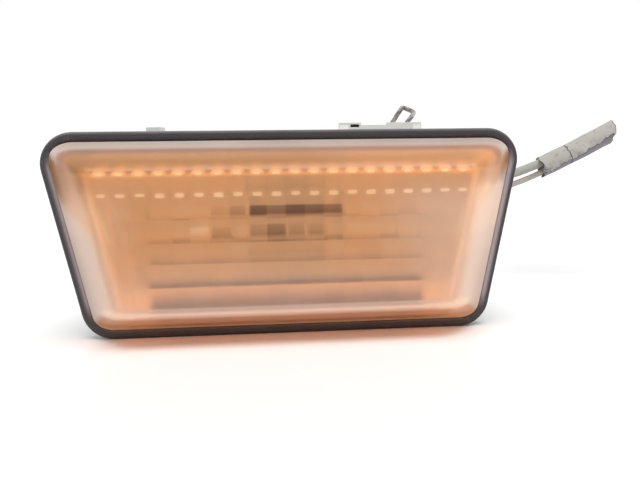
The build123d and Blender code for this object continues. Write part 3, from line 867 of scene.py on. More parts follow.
@dataclass(frozen=True)
class LensCap:
    """The amber cap: smooth outside, with pillows and flutes inside that spread the bulb's light.

    Pairs named for left and right are the values for the cap's two halves. A name with ease or fade is the
    length over which a mark comes or goes. A shade is painted shade, and paints light where its strength is
    negative: it has a left, a right, a foot and a head, and how much darker it is than its neighbours. A side
    line is a painted bright line, with its depth inside the slanted side, its width and how bright it is.
    """

    face: FaceOutline
    rim_level: float = -3.1
    rise: float = 9.0
    inset: float = 1.55
    side_lean: float = 6.0
    edge_lean: float = 3.2
    front_round: float = 2.6
    wall: float = 2.0
    face_wall: float = 1.8
    rim_corner: float = 3.45
    inner_corner: float = 1.0
    inner_sharper: float = 0.6
    pillow_width: float = 2.79
    pillow_height: float = 3.43
    columns: int = 22
    rows: int = 6
    per_pillow: int = 10
    wall_columns: int = 24
    wall_rows: int = 18
    upright_sag: float = 0.22
    level_sag: float = 0.26
    flute_sag: float = 0.24
    bead_rise: float = 0.2
    bead_width: float = 0.62
    bead_height: float = 0.28
    bead_drop: float = 0.1
    bead_zone: float = 0.7
    bead_rows: int = 18
    flute_end: float = 1.6
    flute_fade: float = 2.2
    optics_inset: float = 8.5
    optics_fade: float = 1.2
    pad_width: float = 12.2
    pad_drop: float = 0.8
    # Painted light and shade of the optics, down to the corner tone: dashes, flute band, dark lens above it,
    # rows, cells, wall light, streaks and dim corner.
    outer_glow: float = 0.9
    dash_half: float = 0.85
    dash_ease: float = 0.6
    flute_foot: float = -0.22
    flute_climb: float = 0.4
    flute_side: float = 0.07
    right_gain: float = 0.1
    dark_top: float = 0.45
    dark_line: float = 0.3
    dark_left_right: tuple[float, float] = (3.0, 5.5)
    dark_fade: float = 4.5
    row_half_width: float = 21.0
    row_fade: float = 1.5
    row_swing: float = 0.6
    low_swing: float = 0.5
    cell_tone: float = 0.13
    wall_depth: float = 9.0
    wall_ease: float = 2.0
    wall_gain_left_right: tuple[float, float] = (0.6, 0.78)
    wall_top_left_right: tuple[float, float] = (8.0, 9.8)
    wall_fade: float = 3.0
    streak_tone: float = 0.18
    streak_pitch: float = 2.6
    streak_foot: float = 5.5
    streak_head: float = 12.0
    corner_tone: float = 0.2
    mitre: float = 3.5
    mitre_ease: float = 2.0
    rim_depth: float = 0.6
    ash_depth: float = 0.4
    rim_ease: float = 0.15
    # The lower round edge, whitened as a painted highlight.
    round_foot: float = 4.6
    round_head: float = 7.0
    round_ease: float = 0.7
    side_spread: float = 2.0
    side_top_left_right: tuple[float, float] = (9.5, 13.0)
    side_fade: float = 10.0
    side_ease: float = 4.5
    # The lower wall's painted shade, the painted highlight along the lower round edge, and the painted light
    # on the lower wall by the gasket.
    deep_head: float = 5.0
    deep_ease: float = 0.6
    glint_place: float = 5.6
    glint_width: float = 0.6
    strip_head: float = 3.4
    strip_ease: float = 1.2
    strip_glow: float = 0.68
    # Painted highlights at the flutes' ends.
    dashes: tuple[DashRow, DashRow] = (DashRow(0.0, 0.45, 1.3, 0.5), DashRow(0.2, 0.38, 1.27, 0.12))
    # Painted bright lines on the side walls.
    side_lines: tuple[tuple[float, float, float], ...] = ((9.2, 0.7, 0.6), (11.4, 0.4, 0.4))
    # Painted shades of the cells that picture the bulb and its dark holder; a negative strength paints light.
    shade_ease: float = 0.4
    shades: tuple[tuple[float, float, float, float, float], ...] = (
        (-5.6, 8.4, 3.6, 5.6, 0.72),
        (-5.6, 0.0, 0.5, 2.8, 0.5),
        (0.0, 2.8, 0.5, 2.8, 0.35),
        (2.8, 5.6, 0.5, 2.8, 0.45),
        (-11.2, -5.8, 3.7, 5.6, 0.3),
        (-11.2, -7.6, 0.4, 2.4, 0.3),
        (-6.1, 6.1, 7.3, 9.6, 0.15),
        (-6.1, 6.1, -2.2, 0.4, 0.15),
        (-16.6, -11.0, 0.6, 2.6, -0.55),
        (-16.6, -11.0, 3.6, 5.6, -0.4),
        (-8.3, -5.8, 0.6, 2.6, -0.5),
        (-8.3, -5.8, -1.6, -0.2, -0.4),
        (5.8, 8.4, 0.6, 2.6, -0.5),
        (5.8, 8.4, -1.6, -0.2, -0.4),
        (8.6, 16.2, 0.6, 2.6, -0.45),
        (8.6, 13.8, 3.6, 5.6, -0.4),
    )

    def levels(self, across: np.ndarray, height: np.ndarray, skin: Skin) -> np.ndarray:
        """Y of a skin: the greater of the flat face and the planes of the leaning walls, with round edges.

        Args:
            across: X of each point.
            height: Z of each point.
            skin: The outer or the inner skin.

        Returns:
            Y of each point.
        """
        drawn = self.inset + skin.value * self.wall
        side = self.rim_level - self.rise * (self.face.side_depth(across, height) - drawn) / self.side_lean
        edge = self.rim_level - self.rise * (self.face.edge_depth(height) - drawn) / self.edge_lean
        front = self.rim_level - self.rise + skin.value * self.face_wall
        side_reach, edge_reach = (self._reach(lean) for lean in (self.side_lean, self.edge_lean))
        shrink = 1.0 - self.inner_sharper * skin.value
        flat = front + skin.value * self.pillows(across, height)
        shape = smooth_max(smooth_max(flat, side, side_reach * shrink), edge, edge_reach * shrink)
        return np.minimum(shape, self.rim_level)

    def _reach(self, lean: float) -> float:
        """How far below the face a wall's plane lies where the round edge meets the face."""
        steep = math.atan2(lean, self.rise)
        return self.rise / lean * self.front_round * math.tan((math.pi / 2 - steep) / 2)

    def _cells(self, across: np.ndarray, height: np.ndarray) -> tuple[np.ndarray, np.ndarray]:
        """Place of each point across its column, from -1 to 1, and up its row, from 0 to 1."""
        column = np.mod(across / self.pillow_width + self.columns / 2, 1.0) * 2 - 1
        return column, np.mod(height / self.pillow_height + self.rows / 2, 1.0)

    def pillows(self, across: np.ndarray, height: np.ndarray) -> np.ndarray:
        """Height of the optics: pillows, and above them a band of upright flutes with a bead at each end.

        A pillow is a parabola across its column and one up its row, added. A flute is a parabola across its
        column. A bead is a bell of the distance from its middle. The pad is flat, and all fades at the sides.

        Args:
            across: X of each point.
            height: Z of each point.

        Returns:
            How far each point stands out from the flat inner face.
        """
        column, row = self._cells(across, height)
        top, bottom = self._band()
        pillow = self.upright_sag * (1 - column**2) + self.level_sag * (1 - (2 * row - 1) ** 2)
        on_pad = (np.abs(across) < self.pad_width / 2) & (height < top - self.pad_drop)
        flute = self.flute_sag * np.where(on_pad, 1.0, 1 - column**2)
        flute = flute * ramp_down(height, top + self.flute_end, self.flute_fade)
        shape = np.where(height < bottom, pillow, flute)
        bead = sum(bell(height - level, self.bead_height) for level in (top, bottom))
        bead = bead * bell(column * self.pillow_width / 2, self.bead_width)
        fade = ramp_up(self.face.side_depth(across, height), self.optics_inset, self.optics_fade)
        return (shape + self.bead_rise * bead) * fade

    def _band(self) -> tuple[float, float]:
        """Heights of the flute band's upper and lower rows of beads."""
        top = self.rows * self.pillow_height / 2
        return top - self.bead_drop, top - self.pillow_height

    @staticmethod
    def _by_half(across: np.ndarray, left_right: tuple[float, float]) -> np.ndarray:
        """The left value for the points of the cap's left half, and the right value for the others."""
        return np.where(across > 0, left_right[1], left_right[0])

    @staticmethod
    def _to_right(across: np.ndarray) -> np.ndarray:
        """Eases from 0 in the left half to 1 towards the right end, which is painted brighter."""
        return ramp_up(across, 2.0, 12.0)

    def _band_glow(self, across: np.ndarray, height: np.ndarray, depth: np.ndarray) -> np.ndarray:
        """Painted light and shade of the flute band.

        The flutes' ends are painted highlights, bright dashes, bells of the height times an eased share of
        the column. Between them a flute is painted brighter evenly upwards and dimmer at its sides, and
        painted shade darkens the lens above the band.

        Args:
            across: X of each point.
            height: Z of each point.
            depth: How far each point lies inside the nearer slanted side.

        Returns:
            The band's share of the painted light and shade.
        """
        column = np.abs(self._cells(across, height)[0])
        top, bottom = self._band()
        along = ramp_down(column, self.dash_half, self.dash_ease)
        in_band = (height > bottom) & (height < top)
        slant = self.flute_climb * (height - bottom) / (top - bottom) + self.flute_foot
        slant = slant * ramp_up(height, bottom + 0.3, 0.8)
        painted_light = np.where(in_band, slant - self.flute_side * ramp_up(column, 0.65, 0.35), 0.0)
        for level, dash in zip((top, bottom), self.dashes):
            painted_light = painted_light + bell(height - level - dash.lift, dash.width) * (dash.peak * along - dash.gap)
        painted_light = painted_light * ramp_up(depth, self.optics_inset, self.optics_fade)
        to_right = self._to_right(across)
        dark = self.dark_top * ramp_up(height, top + 0.05, 0.3)
        dark = dark + self.dark_line * bell(height - top - 0.6, 0.5)
        dark = dark * ramp_up(depth, self._by_half(across, self.dark_left_right), self.dark_fade)
        return painted_light + self.right_gain * to_right * in_band - dark * (1.0 - 0.3 * to_right)

    def _row_glow(self, across: np.ndarray, height: np.ndarray, depth: np.ndarray) -> np.ndarray:
        """Painted light and shade of the rows of pillows.

        Each row is painted darker evenly from its top to its foot, its cells differ by a sine of their
        numbers, and the lower rows are painted darker.

        Args:
            across: X of each point.
            height: Z of each point.
            depth: How far each point lies inside the nearer slanted side.

        Returns:
            The rows' share of the painted light and shade.
        """
        row = self._cells(across, height)[1]
        inner = ramp_down(np.abs(across), self.row_half_width, self.row_fade)
        swing = self.row_swing + self.low_swing * ramp_down(height, 0.0, 6.0)
        number, level = np.floor(across / self.pillow_width), np.floor(height / self.pillow_height)
        tone = self.cell_tone * np.sin(2.3 * number + 4.1 * level) * (0.3 + 0.7 * ramp_up(height, -1.5, 3.0))
        tone = tone * ramp_up(depth, self.optics_inset, self.optics_fade)
        shade = 0.1 * ramp_down(height, 1.5, 2.0) + 0.07 * ramp_down(height, -2.6, 1.0)
        shade = shade + 0.45 * inner * ramp_down(height, -5.6, 1.6)
        return np.where(height < self._band()[1], inner * swing * (row - 0.5) + tone, 0.0) - shade

    def _wall_glow(self, across: np.ndarray, height: np.ndarray, depth: np.ndarray) -> np.ndarray:
        """Painted light of the side walls.

        Painted light fades upwards into upright streaks, a cosine of the depth. Painted shade dims the upper
        left corner, and lower down the walls' inner corners are painted bright lines, bells of the depth.

        Args:
            across: X of each point.
            height: Z of each point.
            depth: How far each point lies inside the nearer slanted side.

        Returns:
            The walls' share of the painted light and shade.
        """
        gain = self._by_half(across, self.wall_gain_left_right)
        head = self._by_half(across, self.wall_top_left_right)
        painted_light = gain * ramp_down(height, head, self.wall_fade)
        painted_light = painted_light * ramp_down(depth, self.wall_depth, self.wall_ease)
        high = ramp_up(height, self.streak_foot, 2.5) * ramp_down(height, self.streak_head, 1.5)
        streaks = np.cos(2 * math.pi * (depth - 3.0) / self.streak_pitch) - 0.3
        painted_light = painted_light + self.streak_tone * high * streaks * ramp_down(depth, 8.0, 1.0)
        corner = ramp_up(height, self.streak_foot, 3.0) * ramp_down(depth, 9.5, 2.0) * (across < 0)
        painted_light = painted_light - self.corner_tone * corner
        low = ramp_down(height, self._band()[1], 2.0)
        for line, width, strength in self.side_lines:
            painted_light = painted_light + strength * low * bell(depth - line, width)
        return painted_light

    def _glow(self, across: np.ndarray, height: np.ndarray) -> np.ndarray:
        """Painted light and shade for how the optics lift or dim the light from inside, from -1 to 1.

        It is the sum of the shares of the flute band, the rows and the walls, less the painted shades of the
        cells that picture the bulb and its dark holder, which have eased edges.

        Args:
            across: X of each point.
            height: Z of each point.

        Returns:
            The painted light and shade of each point.
        """
        depth = self.face.side_depth(across, height)
        shares = (self._band_glow, self._row_glow, self._wall_glow)
        painted_light = sum(share(across, height, depth) for share in shares)
        for left, right, foot, head, strength in self.shades:
            over = ramp_up(across, left, self.shade_ease) * ramp_down(across, right, self.shade_ease)
            over = over * ramp_up(height, foot, self.shade_ease) * ramp_down(height, head, self.shade_ease)
            painted_light = painted_light - strength * over
        return np.clip(painted_light, -1.0, 1.0)

    @staticmethod
    def _whitening(across: np.ndarray, height: np.ndarray) -> np.ndarray:
        """How much the face whitens: most at its right, a little at its left, and more towards its foot.

        Args:
            across: X of each point.
            height: Z of each point.

        Returns:
            The whitening of each point, from 0 to 1.
        """
        right, left = 0.55 * ramp_up(across, 10.0, 14.0), 0.2 * ramp_down(across, -20.0, 6.0)
        whitening = np.where(across > 0, right, left) * ramp_down(height, 11.0, 6.0)
        return np.maximum(whitening, 0.45 * ramp_down(height, 1.0, 10.0))

    def _shaded_amber(self, across: np.ndarray, height: np.ndarray, from_side: np.ndarray) -> np.ndarray:
        """Where painted shade darkens the amber: above the flute band and in the upper left corner.

        Args:
            across: X of each point.
            height: Z of each point.
            from_side: How far each point lies inside the cap's nearer slanted side.

        Returns:
            How strong the painted shade is at each point, from 0 to 1.
        """
        above = (0.75 - 0.3 * self._to_right(across)) * ramp_up(height, self._band()[0] + 0.05, 0.5)
        corner = ramp_up(height, 6.0, 3.0) * ramp_down(from_side, 9.0, 3.0) * (across < 0)
        return np.maximum(above, 0.7 * corner)

    def _zones(self, points: np.ndarray, inside: np.ndarray) -> dict[str, np.ndarray]:
        """Marks of the walls and round edges outside, and the optics' painted light and shade on both skins.

        Each is an eased share of the distance from an edge or side, or of the depth below the face.

        Args:
            points: Points of the cap.
            inside: 1 for the points of the inner skin.

        Returns:
            Marks by name.
        """
        across, level, height = points.T
        outer = 1.0 - inside
        depth = (level - self.rim_level + self.rise) / self.rise
        from_edge = self.face.edge_depth(height)
        from_side = self.face.side_depth(across, height) - self.inset
        on_edge = ramp_up(from_side - from_edge, -self.mitre, self.mitre_ease)
        on_upper, on_lower = on_edge * (height > 0), on_edge * (height < 0)
        rim = ramp_up(depth, self.rim_depth, self.rim_ease) * on_upper
        # Painted highlight: the lower round edge is whitened as a reflection of the white table.
        round_edge = ramp_up(from_edge, self.round_foot, self.round_ease) * on_lower
        round_edge = round_edge * ramp_down(from_edge, self.round_head, self.round_ease)
        side_top = self._by_half(across, self.side_top_left_right)
        side_width = (self.side_lean + self.side_spread) * ramp_down(height, side_top, self.side_fade)
        side = ramp_down(from_side, side_width, self.side_ease)
        side = side * (1.0 - on_lower * (from_edge < self.round_foot))
        # Painted shade on the lower wall.
        below = ramp_down(from_edge, self.deep_head, self.deep_ease) * on_lower
        whitening = self._whitening(across, height) * (1.0 - below)
        # Painted highlight along the lower round edge, lifted to full painted light.
        glint = bell(from_edge - self.glint_place, self.glint_width) * on_lower * outer
        # Painted light on the lower wall, brightest by the gasket.
        strip = ramp_down(from_edge, self.strip_head, self.strip_ease) * on_lower * outer
        painted_light = self._glow(across, height) * (inside + self.outer_glow * outer)
        painted_light = painted_light * (1.0 - glint) + glint
        return {
            "chalk_and_highlight": np.maximum.reduce([rim, round_edge, side, whitening]) * outer,
            "ash": ramp_up(depth, self.ash_depth, self.rim_ease) * on_upper * outer,
            "shaded_amber": self._shaded_amber(across, height, from_side) * outer,
            "lower_wall_shade": below * outer,
            "painted_light": painted_light * (1.0 - strip) + self.strip_glow * strip,
        }

    def _skin(self, skin: Skin) -> np.ndarray:
        """Points of a skin: rows up the lamp and columns along it, held to the rounded outline at the rim.

        Args:
            skin: The outer or the inner skin.

        Returns:
            A grid of points.
        """
        drawn = self.inset + skin.value * self.wall
        corner = self.inner_corner if skin is Skin.INNER else self.rim_corner
        core_top = self.rows * self.pillow_height / 2
        top = self.face.height / 2 - drawn
        turn = np.linspace(0.0, math.pi / 2, self.wall_rows + 1)[1:]
        upper = core_top + (top - core_top) * np.sin(turn)
        core = np.linspace(-core_top, core_top, self.rows * self.per_pillow + 1)
        fine = np.linspace(-self.bead_zone, self.bead_zone, self.bead_rows)
        beads = np.concatenate([level + fine for level in self._band()])
        height = np.unique(np.concatenate([-upper, core, beads, upper]))
        core_side = self.columns * self.pillow_width / 2
        outer = np.linspace(core_side, self.face.top_width / 2, self.wall_columns + 1)[1:]
        field = np.linspace(-core_side, core_side, self.columns * self.per_pillow + 1)
        across = np.concatenate([-outer[::-1], field, outer])
        limit = self.face.rounded_half_width(height, drawn, corner)[:, None]
        across = np.clip(across[None, :], -limit, limit)
        height = np.broadcast_to(height[:, None], across.shape)
        return np.stack([across, self.levels(across, height, skin), height], axis=-1)

    def build(self) -> None:
        """Makes the cap as one closed shell: two skins, and a flat rim between their borders."""
        outer, inner = self._skin(Skin.OUTER), self._skin(Skin.INNER)
        rows, columns = outer.shape[:2]
        number = np.arange(rows * columns).reshape(rows, columns)
        border = np.concatenate([number[0, :-1], number[:-1, -1], number[-1, :0:-1], number[:0:-1, 0]])
        skins = np.concatenate([outer.reshape(-1, 3), inner.reshape(-1, 3)])
        rims = np.concatenate([skins[border], skins[border + number.size]])
        rims[:, 1] = self.rim_level
        outer_rim = 2 * number.size + np.arange(len(border))
        inner_rim = outer_rim + len(border)
        sheet = grid_quads(rows, columns, False, False)
        quads = [sheet, sheet[:, ::-1] + number.size, loop_quads(border, outer_rim)]
        quads += [loop_quads(outer_rim, inner_rim), loop_quads(inner_rim, border + number.size)]
        points = np.concatenate([skins, rims])
        counts = (number.size, number.size, len(border), len(border))
        inside = np.repeat([0.0, 1.0, 0.0, 1.0], counts)
        marks = {"inside": inside} | self._zones(points, inside)
        piece = new_piece("lens_cap", points, np.concatenate(quads), marks)
        ride(piece, AmberPlastic(), "amber_lens", "lens")


@dataclass(frozen=True)
class Gasket:
    """The rubber ring: a flat web on the panel, and a rounded lip round the flange, paler along its sides.

    The paler tone starts at one inset of the lip on the left and at another on the right.
    """

    face: FaceOutline
    web: float = 1.5
    band: float = 5.0
    lip_width: float = 1.5
    lip_height: float = 1.7
    lip_round: float = 0.6
    rear_round: float = 0.25
    inner_corner: float = 2.55
    pale_left: float = 0.7
    pale_right: float = 0.45
    pale_ease: float = 0.75
    per_corner: int = 20
    per_side: int = 40

    def _section(self) -> np.ndarray:
        """The ring's section, with quarter circles at the lip's edges and the rear edge.

        Returns:
            Inset and level of each point, as rows.
        """
        front = -self.web - self.lip_height
        quarter = np.linspace(0.0, math.pi / 2, 7)
        swing = np.stack([1 - np.cos(quarter), -np.sin(quarter)], axis=-1)
        rear = np.stack([1 - np.sin(quarter), np.cos(quarter) - 1], axis=-1) * self.rear_round
        outer_lip = np.array([0.0, front + self.lip_round]) + swing * self.lip_round
        inner_lip = np.array([self.lip_width - self.lip_round, front + self.lip_round])
        inner_lip = inner_lip + np.stack([np.sin(quarter), -np.cos(quarter)], axis=-1) * self.lip_round
        straight = [[self.lip_width, -self.web], [self.band, -self.web], [self.band, 0.0]]
        return np.concatenate([rear, outer_lip, inner_lip, np.array(straight)])

    def _pale_tone(self, section: np.ndarray, points: np.ndarray) -> np.ndarray:
        """How pale the lip is: it rises with the inset on the front lip, along the slanted sides only.

        Args:
            section: Inset and level of each point of the section.
            points: The section's rings of points.

        Returns:
            The paler tone on each point, from 0 to 1.
        """
        upright = ramp_up(self.face.edge_depth(points[..., 2]), 2.5, 4.0)
        on_lip = (section[:, 1] < -self.web - 0.5)[:, None]
        start = np.where(points[..., 0] > 0, self.pale_right, self.pale_left)
        return ramp_up(section[:, :1], start, self.pale_ease) * on_lip * upright

    def build(self) -> None:
        """Carries the section round the outline, with each point's ring drawn in by its inset."""
        section = self._section()
        corners = np.maximum(self.face.corner - section[:, 0], self.inner_corner)
        rings = np.stack([
            self.face.ring(inset, corner, self.per_corner, self.per_side)
            for inset, corner in zip(section[:, 0], corners)
        ])
        level = np.broadcast_to(section[:, 1][:, None], rings.shape[:2])
        points = np.stack([rings[..., 0], level, rings[..., 1]], axis=-1)
        quads = grid_quads(*rings.shape[:2], True, True)
        marks = {"pale_tone": self._pale_tone(section, points).reshape(-1)}
        piece = new_piece("rubber_gasket", points.reshape(-1, 3), quads, marks)
        finish = DustyRubber("gasket rubber", (0.045, 0.04, 0.044), (0.2, 0.19, 0.19))
        ride(piece, finish, "gasket_rubber", "gasket")


@dataclass(frozen=True)
class SpringClip:
    """The hairpin of round spring wire on the housing's seat."""

    wire: float = 0.8
    place: float = 16.5
    left_leg: float = 18.9
    leg_gap: float = 2.7
    foot: float = 15.4
    seat: float = 17.6
    rise: float = 2.7
    lean: float = 1.8
    around: int = 16

    def build(self) -> None:
        """Carries a circle along a smooth hairpin in one plane, and closes its ends."""
        right_leg = self.left_leg + self.leg_gap
        peak = self.seat + self.rise
        control = np.array([
            [self.left_leg, self.foot],
            [self.left_leg, self.seat - 0.35],
            [self.left_leg + 0.18 * self.lean, self.seat + 0.12 * self.rise],
            [self.left_leg + 0.95 * self.lean, peak - 0.32],
            [self.left_leg + 1.22 * self.lean, peak - 0.08],
            [self.left_leg + 1.55 * self.lean, peak - 0.3],
            [right_leg + 0.6 * self.lean, peak - 0.75],
            [right_leg + 0.72 * self.lean, peak - 1.15],
            [right_leg + 0.2 * self.lean, self.seat + 0.12 * self.rise],
            [right_leg, self.seat - 0.35],
            [right_leg, self.foot],
        ])
        path = smooth_path(control, 10)
        run = np.gradient(path, axis=0)
        run /= np.linalg.norm(run, axis=1, keepdims=True)
        side = np.stack([run[:, 1], np.zeros(len(run)), -run[:, 0]], axis=-1)
        middle = np.stack([path[:, 0], np.full(len(path), self.place), path[:, 1]], axis=-1)
        angle = np.linspace(0.0, 2 * math.pi, self.around, endpoint=False)[None, :, None]
        round_wire = np.cos(angle) * side[:, None, :] + np.sin(angle) * np.array([0.0, 1.0, 0.0])
        tube = middle[:, None, :] + round_wire * self.wire / 2
        first_cap, last_cap = (np.repeat(end[:, None], self.around, 1) for end in (middle[:1], middle[-1:]))
        tube = np.concatenate([first_cap, tube, last_cap])
        piece = new_piece("spring_wire", tube.reshape(-1, 3), grid_quads(*tube.shape[:2], False, True))
        finish = WornMetal("spring steel", (0.62, 0.59, 0.56), (0.2, 0.17, 0.15), Grime.HEAVY)
        ride(piece, finish, "spring_steel", "spring_clip")


@dataclass(frozen=True)
class SlotDirt:
    """Old dirt that has packed into the slot of the spring's seat."""

    middle: Place = (12.0, 16.4, 17.05)
    half: Place = (0.86, 0.9, 0.27)
    roundness: float = 0.5
    wander: float = 0.12
    around: int = 40
    across: int = 24

    def build(self) -> None:
        """Makes a lump: a squared-off ellipsoid whose surface wanders in and out with a sum of sines."""
        turn = np.linspace(0.0, 2 * math.pi, self.around, endpoint=False)[None, :]
        swing = np.linspace(-math.pi / 2, math.pi / 2, self.across)[:, None]
        waves = (np.cos(turn), np.sin(turn), np.sin(swing))
        square = [np.sign(wave) * np.abs(wave) ** self.roundness for wave in waves]
        waist = np.abs(np.cos(swing)) ** self.roundness
        wander = 1.0 - self.wander * waist * (1.0 + np.sin(5.0 * turn + 3.0 * swing) * np.cos(7.0 * swing))
        shape = np.stack([square[2] + 0.0 * turn, waist * square[0], waist * square[1]], axis=-1)
        points = np.array(self.middle) + shape * wander[..., None] * np.array(self.half)
        quads = grid_quads(*wander.shape, False, True)
        piece = new_piece("slot_dirt", points.reshape(-1, 3), quads)
        clean, dirt, dust = (0.05, 0.042, 0.036), (0.16, 0.13, 0.11), (0.1, 0.09, 0.08)
        finish = MouldedPlastic("packed dirt", clean, dirt, dust, Grime.HEAVY, 0.7)
        piece.data.materials.append(finish.make())
        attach(piece, BODY)
        LOG.info("%s lies in the seat's slot", piece.name)


@dataclass(frozen=True)
class Bulb:
    """The glass of the capless bulb: round at its nose and pinched flat at its base.

    Its section is a superellipse, of one power where it is round and of another at the wedge.
    """

    radius: float = 4.8
    glass: float = 0.7
    nose: float = 4.4
    body_rear: float = 11.0
    shoulder: float = 2.6
    wedge_half_width: float = 4.6
    wedge_half_thickness: float = 1.1
    hollow_rear: float = 1.5
    round_power: float = 2.0
    wedge_power: float = 8.0
    around: int = 48
    nose_rings: int = 14
    pinch_rings: int = 12

    def _shell(
        self, levels: np.ndarray, wide: np.ndarray, thick: np.ndarray, power: np.ndarray
    ) -> np.ndarray:
        """Rings of superellipses: the cosine and the sine, to the power of two over the ring's own power.

        Args:
            levels: Y of each ring.
            wide: Half the width of each ring.
            thick: Half the thickness of each ring.
            power: Power of each ring.

        Returns:
            A grid of points, ring by ring.
        """
        angle = np.linspace(0.0, 2 * math.pi, self.around, endpoint=False)[None, :]
        bend = 2.0 / power[:, None]
        across = wide[:, None] * np.sign(np.cos(angle)) * np.abs(np.cos(angle)) ** bend
        height = thick[:, None] * np.sign(np.sin(angle)) * np.abs(np.sin(angle)) ** bend
        return np.stack([across, np.broadcast_to(levels[:, None], across.shape), height], axis=-1)

    def build(self, tip: float, base: float) -> None:
        """Makes the glass with its hollow, whose front and rear are quarter ellipses turned round the axis.

        Args:
            tip: Level of the bulb's nose.
            base: Level of the wedge's end.
        """
        turn = np.linspace(0.0, math.pi / 2, self.nose_rings)
        pinch = np.linspace(0.0, 1.0, self.pinch_rings)
        dome = np.stack([tip + self.nose * (1 - np.cos(turn)), self.radius * np.sin(turn)], axis=-1)
        ease = smooth_step(pinch)
        levels = np.concatenate([dome[:, 0], self.body_rear + self.shoulder * pinch, [base, base]])
        wide = np.concatenate([dome[:, 1], self.radius + (self.wedge_half_width - self.radius) * ease])
        thick = np.concatenate([dome[:, 1], self.radius + (self.wedge_half_thickness - self.radius) * ease])
        wide = np.concatenate([wide, [self.wedge_half_width, 0.0]])
        thick = np.concatenate([thick, [self.wedge_half_thickness, 0.0]])
        flatter = self.round_power + (self.wedge_power - self.round_power) * ease
        power = np.concatenate([np.full(len(dome), self.round_power), flatter, [self.wedge_power] * 2])
        outer = self._shell(levels, wide, thick, power)
        hollow = (self.radius - self.glass) * np.sin(turn)
        front_level = tip + self.nose - (self.nose - self.glass) * np.cos(turn)
        rear_level = self.body_rear - self.hollow_rear * (1 - np.cos(turn))
        hollow_level = np.concatenate([front_level, rear_level[::-1]])
        hollow_radius = np.concatenate([hollow, hollow[::-1]])
        round_all = np.full(len(hollow_level), self.round_power)
        inner = self._shell(hollow_level, hollow_radius, hollow_radius, round_all)
        outer_quads = grid_quads(*outer.shape[:2], False, True)[:, ::-1]
        inner_quads = grid_quads(*inner.shape[:2], False, True) + outer[..., 0].size
        points = np.concatenate([outer.reshape(-1, 3), inner.reshape(-1, 3)])
        piece = new_piece("bulb_glass", points, np.concatenate([outer_quads, inner_quads]), outward=False)
        ride(piece, ClearGlass(), "bulb_glass", "bulb_envelope")


